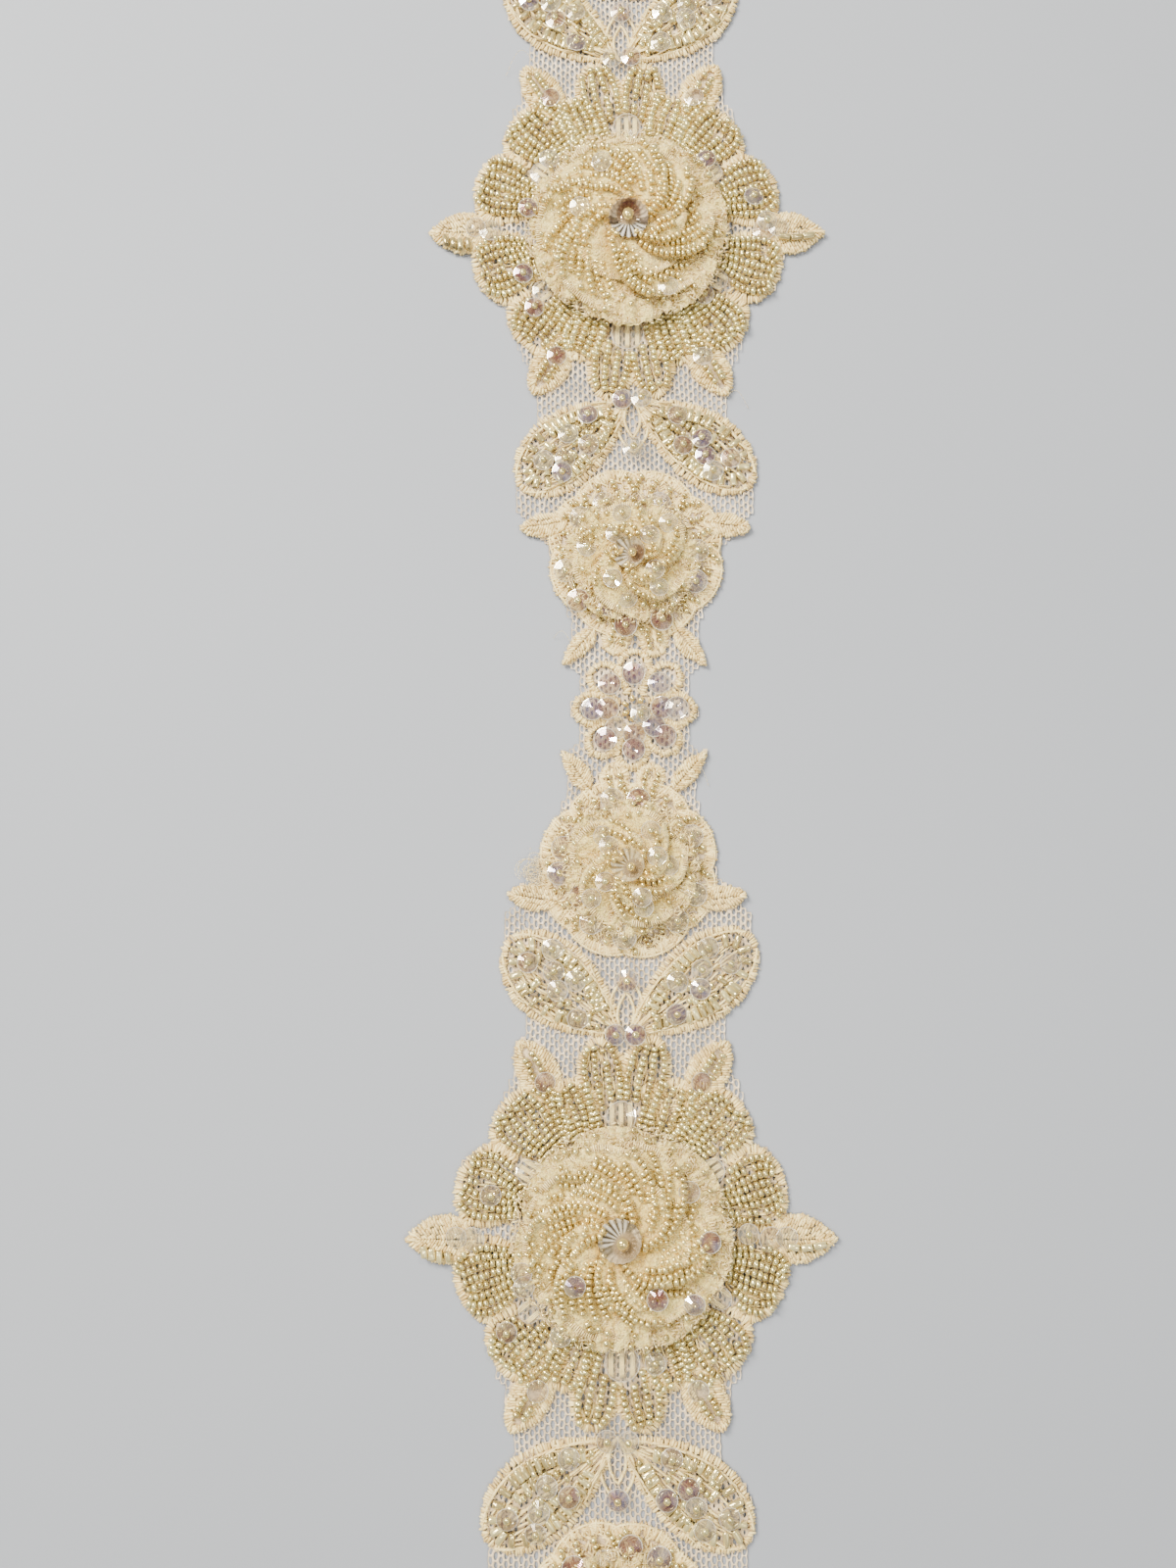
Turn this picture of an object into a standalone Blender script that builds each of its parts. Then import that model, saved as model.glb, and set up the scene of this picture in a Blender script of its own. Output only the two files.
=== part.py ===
"""Sequin trim: a cut length of beaded bridal lace, lying flat with its back on the ground plane.

One galloon of net carries embroidered and beaded motifs, mirrored about its length and about each big
flower: flat petals, side leaves, upright leaves, butterfly wings, small rose grounds and one daisy.
Gathered cloth roses, cup sequins and beads are sewn on top. The band runs along Y, its face looks up.
Every size below is in millimetres, and MM turns it into metres when a mesh is made.
"""

import math
import random
from collections import namedtuple

import bmesh
import bpy
from mathutils import Vector
from mathutils.geometry import delaunay_2d_cdt

MM = 0.001

# ---------------------------------------------------------------- driving sizes
HALF_REPEAT = 94.3  # from a big flower's centre to the daisy's centre
CUT = 88.0  # from a big flower's centre to the cut end beyond the last small rose
ROSE_AT = 64.6  # from a big flower's centre to a small rose's centre
GAP = 0.3  # clearance between pieces that touch

NET_TOP = 1.0
STITCH_TOP = 1.5
BEADED_TOP = 2.1
RIM = 0.7  # how far inside its outline a motif reaches its full height

# How far the band's middle line lies off the Y axis.
Bow = namedtuple("Bow", "y x")
BOW = [
    Bow(-190, -1.6), Bow(-130, -1.6), Bow(-94, -0.8), Bow(-30, 0.6), Bow(0, 1.9),
    Bow(30, 2.2), Bow(94, 0.8), Bow(130, -0.2), Bow(190, -0.8),
]

# The net's half width, by distance from a big flower's centre.
Edge = namedtuple("Edge", "along half")
NET_EDGE = [
    Edge(0, 27.5), Edge(8, 25.0), Edge(25, 21.0), Edge(31, 17.6), Edge(40, 17.8),
    Edge(50, 22.4), Edge(56, 22.6), Edge(62, 17.0), Edge(74, 13.0), Edge(80, 11.5),
    Edge(86, 12.3), Edge(88, 10.2), Edge(94.3, 10.4),
]

# Flat motifs. root_x and root_y are where a motif starts, measured from its flower's centre; turn is its
# direction in degrees, anticlockwise from +X. widest is 1 where the motif is widest at its middle, and more
# where that is nearer the tip; blunt is 1 for a pointed leaf and smaller for a round petal.
Motif = namedtuple("Motif", "root_x root_y turn length width widest blunt bend top")

# One quarter of a big flower: petals, and the fan that reaches for the wings.
FLOWER = [
    Motif(13.2, 4.2, 19, 17.0, 15.0, 1.9, 0.50, 0.0, BEADED_TOP),
    Motif(8.6, 10.8, 50, 17.4, 16.0, 1.9, 0.50, 0.0, BEADED_TOP),
    Motif(5.4, 13.2, 68, 14.6, 9.5, 1.7, 0.55, 0.0, BEADED_TOP),
    Motif(1.6, 14.5, 80, 19.8, 9.0, 1.6, 0.55, 0.0, BEADED_TOP),
]
SIDE_LEAF = Motif(25.4, -1.0, 0, 12.8, 8.2, 0.9, 0.80, 0.0, STITCH_TOP)

# One side of the band from a big flower to the next daisy.
HALF_BAND = [
    Motif(12.2, 22.4, 62, 12.8, 7.2, 1.0, 0.60, -0.5, STITCH_TOP),  # upright leaf
    Motif(1.0, 35.4, 34, 27.0, 14.6, 1.35, 0.52, 1.6, BEADED_TOP),  # wing
    Motif(12.5, 58.6, 9, 9.3, 4.4, 1.0, 0.60, 0.0, STITCH_TOP),  # leaflet
    Motif(7.6, 79.0, 55, 9.2, 3.6, 0.8, 0.80, -0.5, STITCH_TOP),  # thorn
    Motif(2.6, 77.5, 78, 7.0, 5.6, 1.3, 0.50, 0.0, STITCH_TOP),  # scallop under the rose
]
ROSE_LOBES = 8
ROSE_LOBE = Motif(4.0, 0.0, 0, 12.5, 13.2, 1.7, 0.50, 0.0, STITCH_TOP)  # about a small rose's centre
DAISY_PETALS = 8
DAISY_PETAL = Motif(1.6, 0.0, 0, 10.0, 6.6, 1.5, 0.50, 0.0, STITCH_TOP)  # about the daisy's centre
UNEVEN_TURN = 2.0  # degrees, and UNEVEN_SIZE a share: no two hand-made motifs are alike
UNEVEN_SIZE = 0.025

# Gathered roses: a frill that lies on the lace, and a whorl of overlapping petals on it.
Rose = namedtuple("Rose", "reach lobes frill_lift frill_wave whorl petals rise step seat cup flutes bead")
BIG_ROSE = Rose(19.4, 7, 1.0, 0.4, 13.5, 6, 2.2, 1.1, 0.7, 7.6, 9, 2.2)
SMALL_ROSE = Rose(12.4, 6, 0.7, 0.25, 8.6, 5, 1.7, 0.8, 0.7, 5.0, 8, 1.6)
FRILL_THICK = 1.1
SWIRL = 0.9  # how many petals a whorl turns by, from its middle to its rim
SEWN_OFF = [(0.0, 0.0), (0.0, -1.4), (0.4, 0.3), (0.3, 0.2), (-0.8, -1.6), (0.2, -0.5)]  # big, then small

SEQUIN = 4.2
SEQUIN_THICK = 0.5
SEQUIN_RIM = 0.6  # how high a sequin's rim stands
SEQUIN_SIDES = 8
CUP_WALL = 0.35
CUP_PROFILE = [(0.16, 0.0), (0.34, 0.04), (0.5, 0.22)]  # radius and rise, as shares of a cup's width
STEM_SEQUIN_AT = 44.4  # in the notch between two wings
DAISY_SEQUIN_AT = 7.2


# ---------------------------------------------------------------- layout
def bow(y):
    """The middle line's sideways place at y, read smoothly from BOW."""
    for low, high in zip(BOW, BOW[1:]):
        if y <= high.y or high is BOW[-1]:
            t = min(max((y - low.y) / (high.y - low.y), 0.0), 1.0)
            return low.x + (high.x - low.x) * t * t * (3 - 2 * t)


def placed(motif, centre_y, side, way):
    """The motif mirrored to its side and way along the band, about a centre on the middle line."""
    turn = motif.turn if side > 0 else 180 - motif.turn
    return motif._replace(
        root_x=side * motif.root_x,
        root_y=centre_y + way * motif.root_y,
        turn=way * turn,
        bend=side * way * motif.bend,
    )


def turned(motif, centre_y, angle):
    """The motif turned about a centre on the middle line, as a ring of petals needs it."""
    a = math.radians(angle)
    return motif._replace(
        root_x=motif.root_x * math.cos(a), root_y=centre_y + motif.root_x * math.sin(a), turn=angle
    )


def uneven(motif, hand):
    """A motif as a hand makes it: a little turned, longer or shorter."""
    return motif._replace(
        turn=motif.turn + hand.uniform(-UNEVEN_TURN, UNEVEN_TURN),
        length=motif.length * (1 + hand.uniform(-UNEVEN_SIZE, UNEVEN_SIZE)),
        width=motif.width * (1 + hand.uniform(-UNEVEN_SIZE, UNEVEN_SIZE)),
    )


def flower_centres():
    return [-HALF_REPEAT, HALF_REPEAT]


def rose_centres():
    return [f + way * ROSE_AT for f in flower_centres() for way in (-1, 1)]


def layout():
    """Every flat motif of the band, in band coordinates."""
    hand = random.Random(7)
    motifs = []
    for centre in flower_centres():
        motifs += [placed(SIDE_LEAF, centre, side, 1) for side in (-1, 1)]
        for way in (-1, 1):
            for side in (-1, 1):
                motifs += [uneven(placed(m, centre, side, way), hand) for m in FLOWER + HALF_BAND]
    for centre in rose_centres():
        for k in range(ROSE_LOBES):
            motifs.append(uneven(turned(ROSE_LOBE, centre, 360 * (k + 0.5) / ROSE_LOBES), hand))
    for k in range(DAISY_PETALS):
        motifs.append(uneven(turned(DAISY_PETAL, 0.0, 360 * k / DAISY_PETALS), hand))
    return motifs


def outline(motif, steps, inset=0.0):
    """The motif's closed outline, anticlockwise, drawn in by inset all round."""
    a = math.radians(motif.turn)
    along = Vector((math.cos(a), math.sin(a)))
    across = Vector((-along.y, along.x))
    root = Vector((motif.root_x, motif.root_y))
    points = []
    for k in range(2 * steps):
        t = (1 - math.cos(math.pi * k / steps)) / 2
        half = motif.width / 2 - inset
        width = half * math.sin(math.pi * t**motif.widest) ** motif.blunt * (-1 if k < steps else 1)
        reach = inset + t * (motif.length - 2 * inset)
        p = root + along * reach + across * (width + motif.bend * t * t)
        points.append(Vector((p.x + bow(p.y), p.y)))
    return points


def net_outline():
    """The net's own outline, anticlockwise, cut straight across at both ends."""
    right = []
    for centre, ways in ((-HALF_REPEAT, (-1, 1)), (HALF_REPEAT, (-1, 1))):
        for way in ways:
            rows = [e for e in NET_EDGE if (centre * way < 0) or e.along <= CUT]
            rows = rows[::-1] if way < 0 else rows
            right += [Vector((e.half, centre + way * e.along)) for e in rows]
    kept = [p for p, q in zip(right, right[1:] + [None]) if q is None or (p - q).length > 1e-6]
    both = kept + [Vector((-p.x, p.y)) for p in reversed(kept)]
    return [Vector((p.x + bow(p.y), p.y)) for p in both]


# ---------------------------------------------------------------- lace band
def depth_inside(point, loop):
    """How far inside a closed loop a point lies, and 0 outside it."""
    inside, nearest = False, math.inf
    for p, q in zip(loop, loop[1:] + loop[:1]):
        if (p.y > point.y) != (q.y > point.y):
            if point.x < (q.x - p.x) * (point.y - p.y) / (q.y - p.y) + p.x:
                inside = not inside
        edge = q - p
        t = min(max((point - p).dot(edge) / edge.length_squared, 0.0), 1.0)
        nearest = min(nearest, (point - p - edge * t).length)
    return nearest if inside else 0.0


def band_height(point, pads):
    """The band's upper face over a point: the net, or the highest motif there."""
    height = NET_TOP
    for loop, low, high, top in pads:
        if low.x <= point.x <= high.x and low.y <= point.y <= high.y:
            share = min(depth_inside(point, loop) / RIM, 1.0)
            height = max(height, NET_TOP + (top - NET_TOP) * share)
    return height


def union_of(loops):
    """One flat triangulation of all the loops together: its points and its faces."""
    points, faces = [], []
    for loop in loops:
        faces.append(list(range(len(points), len(points) + len(loop))))
        points += loop
    found = delaunay_2d_cdt(points, [], faces, 1, 1e-3)
    return found[0], [f for f, owners in zip(found[2], found[5]) if owners]


def lace_band(material):
    """The galloon: net with its motifs raised on it, one closed sheet with a flat back."""
    motifs = layout()
    outer = [outline(m, 7) for m in motifs]
    inner = [outline(m, 4, RIM) for m in motifs]
    pads = []
    for loop, motif in zip(outer, motifs):
        low = Vector((min(p.x for p in loop), min(p.y for p in loop)))
        high = Vector((max(p.x for p in loop), max(p.y for p in loop)))
        pads.append((loop, low, high, motif.top))
    points, faces = union_of([net_outline()] + outer + inner)
    bm = bmesh.new()
    face_up = [bm.verts.new((p.x, p.y, band_height(p, pads))) for p in points]
    for f in faces:
        bm.faces.new([face_up[i] for i in f])
    bmesh.ops.recalc_face_normals(bm, faces=bm.faces)
    if sum(f.normal.z for f in bm.faces) < 0:
        bmesh.ops.reverse_faces(bm, faces=bm.faces)
    back = bmesh.ops.extrude_face_region(bm, geom=bm.faces[:])
    for v in [g for g in back["geom"] if isinstance(g, bmesh.types.BMVert)]:
        v.co.z = 0.0
    flat = [f for f in bm.faces if all(v.co.z == 0.0 for v in f.verts)]
    bmesh.ops.recalc_face_normals(bm, faces=bm.faces)
    bmesh.ops.dissolve_limit(
        bm, angle_limit=math.radians(1), use_dissolve_boundaries=False,
        verts=list({v for f in flat for v in f.verts}), edges=list({e for f in flat for e in f.edges}),
    )
    bmesh.ops.triangulate(bm, faces=bm.faces)
    return finished("lace_band", bm, material)


# ---------------------------------------------------------------- roses
def ring_solid(rings):
    """A closed solid from rings of points, the first and last each closed by a point at their middle."""
    bm = bmesh.new()
    loops = [[bm.verts.new(p) for p in ring] for ring in rings]
    count = len(loops[0])
    for lower, upper in zip(loops, loops[1:]):
        for k in range(count):
            n = (k + 1) % count
            bm.faces.new([lower[k], lower[n], upper[n], upper[k]])
    for loop, turned_over in ((loops[0], True), (loops[-1], False)):
        middle = bm.verts.new(sum((v.co for v in loop), Vector()) / count)
        for k in range(count):
            corner = [loop[k], loop[(k + 1) % count], middle]
            bm.faces.new(corner[::-1] if turned_over else corner)
    return bm


def frill_points(rose, spot, share, height, phase):
    """One ring of the frill at a share of its reach: lobed, and lifting and waving towards its edge."""
    ring = []
    for k in range(rose.lobes * 4):
        a = 2 * math.pi * k / (rose.lobes * 4) + phase
        lobe = 0.91 + 0.09 * abs(math.sin(rose.lobes * (a - phase) / 2)) ** 0.6
        r = rose.reach * lobe * share
        lift = rose.frill_lift + rose.frill_wave * math.sin(3 * a + phase)
        ring.append(spot + Vector((r * math.cos(a), r * math.sin(a), height + lift * share**3)))
    return ring


def frill(name, rose, spot, base, phase, material):
    """The rose's lower layer: a lobed sheet that rises from the lace towards its edge."""
    top = base + FRILL_THICK
    rings = [frill_points(rose, spot, s, base, phase) for s in (0.35, 0.7, 1.0)]
    rings += [frill_points(rose, spot, s, top, phase) for s in (1.0, 0.7, 0.35)]
    return finished(name, ring_solid(rings), material)


PETAL_SHAPE = [(0.0, 0.0), (0.3, 0.35), (0.65, 0.8), (0.88, 1.0)]  # share across a petal, its height there


def whorl_ring(rose, spot, share, height, step, phase):
    """One ring of the whorl at a share of its reach: each petal rises to its leading edge, then drops."""
    ring = []
    for petal in range(rose.petals):
        for across, raised in PETAL_SHAPE:
            turn = petal + across - SWIRL * share
            a = 2 * math.pi * turn / rose.petals + phase
            r = rose.whorl * share * (0.88 + 0.12 * math.sin(math.pi * across))
            ring.append(spot + Vector((r * math.cos(a), r * math.sin(a), height + step * raised)))
    return ring


def whorl(name, rose, spot, base, phase, material):
    """The rose's upper layer: a low dome of overlapping petals, hollowed in its middle for the cup sequin."""
    rings = [whorl_ring(rose, spot, 0.5, base, 0.0, phase), whorl_ring(rose, spot, 0.95, base, 0.0, phase)]
    for share, up, step in ((1.0, 0.22, 0.3), (0.82, 0.5, 1.0), (0.58, 0.85, 1.0), (0.34, 1.0, 0.3)):
        rings.append(whorl_ring(rose, spot, share, base + rose.rise * up, rose.step * step, phase))
    hollow = rose.cup * 0.3 / rose.whorl
    rings.append(whorl_ring(rose, spot, hollow, base + rose.rise * rose.seat, 0.0, phase))
    return finished(name, ring_solid(rings), material)


def cup_sequin(name, rose, spot, base, material):
    """A cup sequin: a shallow dish whose wall is pressed into flutes, on a small flat."""
    section = [(r * rose.cup, base + z * rose.cup) for r, z in CUP_PROFILE]
    section += [(r * 0.96, z + CUP_WALL) for r, z in reversed(section)]
    rings = []
    for r, z in section:
        ring = []
        for k in range(2 * rose.flutes):
            a = math.pi * k / rose.flutes
            pressed = r * (0.95 if k % 2 else 1.0)
            ring.append(spot + Vector((pressed * math.cos(a), pressed * math.sin(a), z)))
        rings.append(ring)
    return finished(name, ring_solid(rings), material)


def flat_sequin(name, spot, base, material):
    """A small sequin: a round wafer, dished towards its thin rim."""
    rings = []
    for share, z in ((0.5, 0.0), (1.0, SEQUIN_RIM), (0.5, SEQUIN_THICK)):
        r = SEQUIN / 2 * share
        ring = []
        for k in range(SEQUIN_SIDES):
            a = 2 * math.pi * k / SEQUIN_SIDES
            ring.append(spot + Vector((r * math.cos(a), r * math.sin(a), base + z)))
        rings.append(ring)
    return finished(name, ring_solid(rings), material)


def bead(name, spot, width, base, material):
    """A round bead, sewn down on a sequin."""
    bm = bmesh.new()
    bmesh.ops.create_uvsphere(bm, u_segments=8, v_segments=6, radius=width / 2)
    bmesh.ops.translate(bm, verts=bm.verts, vec=spot + Vector((0, 0, base + width / 2)))
    return finished(name, bm, material)


def rose_set(name, rose, centre_y, sewn_off, phase, materials):
    """A gathered rose with its cup sequin and bead, stacked on the lace a little off its motif's centre."""
    spot = Vector((bow(centre_y) + sewn_off[0], centre_y + sewn_off[1], 0.0))
    ground = BEADED_TOP if rose is BIG_ROSE else STITCH_TOP
    base = ground + GAP
    frill(name + "_frill", rose, spot, base, phase, materials["rose_cloth"])
    whorl_base = base + FRILL_THICK + rose.frill_lift * 0.45 + GAP
    whorl(name + "_whorl", rose, spot, whorl_base, phase, materials["rose_cloth"])
    cup_base = whorl_base + rose.rise * rose.seat + GAP
    cup_sequin(name + "_cup", rose, spot, cup_base, materials["sequin"])
    bead(name + "_bead", spot, rose.bead, cup_base + CUP_WALL + GAP, materials["bead"])


# ---------------------------------------------------------------- scene
def finished(name, bm, material):
    """The bmesh as one named object in metres, shaded smooth but for its sharp edges."""
    bmesh.ops.scale(bm, vec=(MM, MM, MM), verts=bm.verts)
    bmesh.ops.recalc_face_normals(bm, faces=bm.faces)
    mesh = bpy.data.meshes.new(name)
    bm.to_mesh(mesh)
    bm.free()
    mesh.materials.append(material)
    mesh.shade_smooth()
    mesh.set_sharp_from_angle(angle=math.radians(40))
    piece = bpy.data.objects.new(name, mesh)
    bpy.context.scene.collection.objects.link(piece)
    return piece


def surface(name, colour, roughness, metallic=0.0):
    material = bpy.data.materials.new(name)
    material.use_nodes = True
    shader = material.node_tree.nodes["Principled BSDF"]
    shader.inputs["Base Color"].default_value = (*colour, 1.0)
    shader.inputs["Roughness"].default_value = roughness
    shader.inputs["Metallic"].default_value = metallic
    return material


def main():
    for old in list(bpy.data.objects):
        bpy.data.objects.remove(old, do_unlink=True)
    materials = {
        "lace_cloth": surface("lace_cloth", (0.74, 0.64, 0.44), 0.85),
        "rose_cloth": surface("rose_cloth", (0.76, 0.62, 0.38), 0.8),
        "sequin": surface("sequin", (0.82, 0.78, 0.72), 0.15),
        "bead": surface("bead", (0.78, 0.70, 0.48), 0.2, 0.3),
    }
    lace_band(materials["lace_cloth"])
    for n, centre in enumerate(flower_centres(), 1):
        rose_set(f"big_rose_{n}", BIG_ROSE, centre, SEWN_OFF[n - 1], 0.3 * n, materials)
    for n, centre in enumerate(rose_centres(), 1):
        rose_set(f"small_rose_{n}", SMALL_ROSE, centre, SEWN_OFF[n + 1], 0.5 * n, materials)
        flower = min(flower_centres(), key=lambda f: abs(f - centre))
        y = flower + math.copysign(STEM_SEQUIN_AT, centre - flower)
        spot = Vector((bow(y), y, 0.0))
        flat_sequin(f"stem_sequin_{n}", spot, NET_TOP + GAP, materials["sequin"])
    for k in range(DAISY_PETALS):
        a = 2 * math.pi * k / DAISY_PETALS
        out = Vector((math.cos(a), math.sin(a), 0.0)) * DAISY_SEQUIN_AT
        spot = Vector((bow(out.y), 0.0, 0.0)) + out
        flat_sequin(f"daisy_sequin_{k + 1}", spot, STITCH_TOP + GAP, materials["sequin"])
    flat_sequin("daisy_middle", Vector((bow(0.0), 0.0, 0.0)), STITCH_TOP + GAP, materials["sequin"])


main()
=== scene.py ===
"""Sequin trim: the looks of a cut length of beaded bridal lace, on the solids of its frame.

The net, the silk stitches, the beads, the film sequins and the gathered cloth roses are modelled here at
their real size. Lengths are in millimetres, and MM turns them into metres when a mesh is made. The band
runs along Y, its face looks up, and z is 0 on the table.
"""

import math
import random
from collections import namedtuple

import bmesh
import bpy
import numpy as np
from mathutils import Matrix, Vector, noise


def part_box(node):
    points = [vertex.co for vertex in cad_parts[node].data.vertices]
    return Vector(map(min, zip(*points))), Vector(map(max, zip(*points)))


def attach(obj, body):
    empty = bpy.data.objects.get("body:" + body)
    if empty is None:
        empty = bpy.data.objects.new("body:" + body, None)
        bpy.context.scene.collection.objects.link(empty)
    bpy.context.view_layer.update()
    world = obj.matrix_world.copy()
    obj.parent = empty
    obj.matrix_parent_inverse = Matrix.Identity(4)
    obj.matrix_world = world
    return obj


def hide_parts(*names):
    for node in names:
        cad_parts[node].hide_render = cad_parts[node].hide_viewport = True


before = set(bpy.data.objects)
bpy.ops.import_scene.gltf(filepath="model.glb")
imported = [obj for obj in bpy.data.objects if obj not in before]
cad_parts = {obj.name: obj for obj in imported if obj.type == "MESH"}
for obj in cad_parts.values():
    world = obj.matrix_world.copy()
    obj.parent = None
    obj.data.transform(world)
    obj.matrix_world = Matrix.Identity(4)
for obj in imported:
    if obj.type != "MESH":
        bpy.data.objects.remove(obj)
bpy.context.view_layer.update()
MM = 0.001
UP = (0.0, 0.0, 1.0)

# Where each run of random draws starts.
LAYOUT_DRAWS = 7
NET_DRAWS = 11
SEWING_DRAWS = 5

# ---------------------------------------------------------------- layout, as the solids have it
HALF_REPEAT = 94.3  # from a big flower's centre to the daisy's centre
CUT = 88.0  # from a big flower's centre to the cut end beyond the last small rose
ROSE_AT = 64.6  # from a big flower's centre to a small rose's centre

Bow = namedtuple("Bow", "y x")
BOW = [
    Bow(-190, -1.6), Bow(-130, -1.6), Bow(-94, -0.8), Bow(-30, 0.6), Bow(0, 1.9),
    Bow(30, 2.2), Bow(94, 0.8), Bow(130, -0.2), Bow(190, -0.8),
]
Edge = namedtuple("Edge", "along half")
NET_EDGE = [  # the net's half width, going along the band from a big flower's centre
    Edge(0, 27.5), Edge(8, 25.0), Edge(25, 21.0), Edge(31, 17.6), Edge(40, 17.8),
    Edge(50, 22.4), Edge(56, 22.6), Edge(62, 17.0), Edge(74, 13.0), Edge(80, 11.5),
    Edge(86, 12.3), Edge(88, 10.2), Edge(94.3, 10.4),
]

# A motif starts at its root and points along turn, in degrees. widest and blunt shape its outline, bend curves
# its middle line, and hand is -1 where it is a mirror image.
Motif = namedtuple("Motif", "kind root_x root_y turn length width widest blunt bend hand")
FLOWER = [
    Motif("petal", 13.2, 4.2, 19, 17.0, 15.0, 1.9, 0.50, 0.0, 1),
    Motif("petal", 8.6, 10.8, 50, 17.4, 16.0, 1.9, 0.50, 0.0, 1),
    Motif("fan", 5.4, 13.2, 68, 14.6, 9.5, 1.7, 0.55, 0.0, 1),
    Motif("fan", 1.6, 14.5, 80, 19.8, 9.0, 1.6, 0.55, 0.0, 1),
]
SIDE_LEAF = Motif("side_leaf", 25.4, -1.0, 0, 12.8, 8.2, 0.9, 0.80, 0.0, 1)
HALF_BAND = [
    Motif("leaf", 12.2, 22.4, 62, 12.8, 7.2, 1.0, 0.60, -0.5, 1),
    Motif("wing", 1.0, 35.4, 34, 27.0, 14.6, 1.35, 0.52, 1.6, 1),
    Motif("leaflet", 12.5, 58.6, 9, 9.3, 4.4, 1.0, 0.60, 0.0, 1),
    Motif("thorn", 7.6, 79.0, 55, 9.2, 3.6, 0.8, 0.80, -0.5, 1),
    Motif("scallop", 2.6, 77.5, 78, 7.0, 5.6, 1.3, 0.50, 0.0, 1),
]
ROSE_LOBES = 8
ROSE_LOBE = Motif("rose_lobe", 4.0, 0.0, 0, 12.5, 13.2, 1.7, 0.50, 0.0, 1)
DAISY_PETALS = 8
DAISY_PETAL = Motif("daisy_petal", 1.6, 0.0, 0, 10.0, 6.6, 1.5, 0.50, 0.0, 1)
UNEVEN_TURN = 2.0  # degrees
UNEVEN_SIZE = 0.025
# How far off its place each rose is sewn, the big ones first.
SEWN_OFF = [(0.0, 0.0), (0.0, -1.4), (0.4, 0.3), (0.3, 0.2), (-0.8, -1.6), (0.2, -0.5)]
BIG_ROSES = 2
STEM_AT = 34.6  # from a big flower's centre to the foot of the cords between two wings
STEM_FEET_AT = 34.8
STEM_SEQUIN_AT = 44.4

# ---------------------------------------------------------------- heights of the layers
NET_Z = 0.4
GROUND_Z = 0.75
THREAD_Z = 0.85
BEAD_Z = 1.35
FILM_Z = 1.9


def bow(y):
    """The middle line's sideways place at y, for one y or many."""
    ys, xs = np.array([b.y for b in BOW], float), np.array([b.x for b in BOW])
    k = np.clip(np.searchsorted(ys, y, side="right") - 1, 0, len(BOW) - 2)
    t = np.clip((y - ys[k]) / (ys[k + 1] - ys[k]), 0, 1)
    return xs[k] + (xs[k + 1] - xs[k]) * t * t * (3 - 2 * t)


def placed(motif, centre_y, side, way):
    """The motif mirrored to its side and way along the band, about a centre on the middle line."""
    turn = motif.turn if side > 0 else 180 - motif.turn
    return motif._replace(
        root_x=side * motif.root_x, root_y=centre_y + way * motif.root_y, turn=way * turn,
        bend=side * way * motif.bend, hand=side * way,
    )


def turned(motif, centre_y, angle):
    """The motif turned about a centre on the middle line, as a ring of petals needs it."""
    a = math.radians(angle)
    return motif._replace(
        root_x=motif.root_x * math.cos(a), root_y=centre_y + motif.root_x * math.sin(a), turn=angle
    )


def uneven(motif, draws):
    """A motif as it comes out by hand: a little turned, longer or shorter."""
    return motif._replace(
        turn=motif.turn + draws.uniform(-UNEVEN_TURN, UNEVEN_TURN),
        length=motif.length * (1 + draws.uniform(-UNEVEN_SIZE, UNEVEN_SIZE)),
        width=motif.width * (1 + draws.uniform(-UNEVEN_SIZE, UNEVEN_SIZE)),
    )


FLOWERS = [-HALF_REPEAT, HALF_REPEAT]
ROSES = [f + way * ROSE_AT for f in FLOWERS for way in (-1, 1)]


def layout():
    """Every flat motif of the band."""
    draws = random.Random(LAYOUT_DRAWS)
    motifs = []
    for centre in FLOWERS:
        motifs += [placed(SIDE_LEAF, centre, side, 1) for side in (-1, 1)]
        for way in (-1, 1):
            for side in (-1, 1):
                motifs += [uneven(placed(m, centre, side, way), draws) for m in FLOWER + HALF_BAND]
    for centre in ROSES:
        for k in range(ROSE_LOBES):
            motifs.append(uneven(turned(ROSE_LOBE, centre, 360 * (k + 0.5) / ROSE_LOBES), draws))
    for k in range(DAISY_PETALS):
        motifs.append(uneven(turned(DAISY_PETAL, 0.0, 360 * k / DAISY_PETALS), draws))
    return motifs


MOTIFS = layout()


def heading(degrees):
    """The unit direction at an angle, and the one a quarter turn to its left."""
    a = math.radians(degrees)
    return np.array([math.cos(a), math.sin(a)]), np.array([-math.sin(a), math.cos(a)])


def on_motif(motif, t, v):
    """Places on a motif: t is 0 at its root and 1 at its tip, v is 0 on its middle line and 1 at an edge."""
    t, v = np.broadcast_arrays(np.asarray(t, float), np.asarray(v, float) * motif.hand)
    swell = np.clip(np.sin(math.pi * np.clip(t, 0, 1) ** motif.widest), 0, 1)
    half = motif.width / 2 * swell ** motif.blunt
    along, across = heading(motif.turn)
    reach, off = t * motif.length, v * half + motif.bend * t * t
    places = np.array([motif.root_x, motif.root_y]) + reach[..., None] * along + off[..., None] * across
    places[..., 0] += bow(places[..., 1])
    return places


def outline(motif, steps=90):
    """A motif's closed outline, anticlockwise, with t beside each point."""
    s = np.linspace(0, 1, 2 * steps + 1)
    t = (1 - np.cos(2 * math.pi * s)) / 2
    v = np.where(s < 0.5, -1.0, 1.0) * motif.hand
    return np.column_stack([on_motif(motif, t, v), t])


def inside(points, loop):
    """Which of many points lie inside a closed loop."""
    x, y = points[:, 0:1], points[:, 1:2]
    a, b = loop, np.roll(loop, -1, axis=0)
    crosses = (a[:, 1] > y) != (b[:, 1] > y)
    rise = np.where(b[:, 1] == a[:, 1], 1e-9, b[:, 1] - a[:, 1])
    return (crosses & (x < (b[:, 0] - a[:, 0]) * (y - a[:, 1]) / rise + a[:, 0])).sum(axis=1) % 2 == 1


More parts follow.
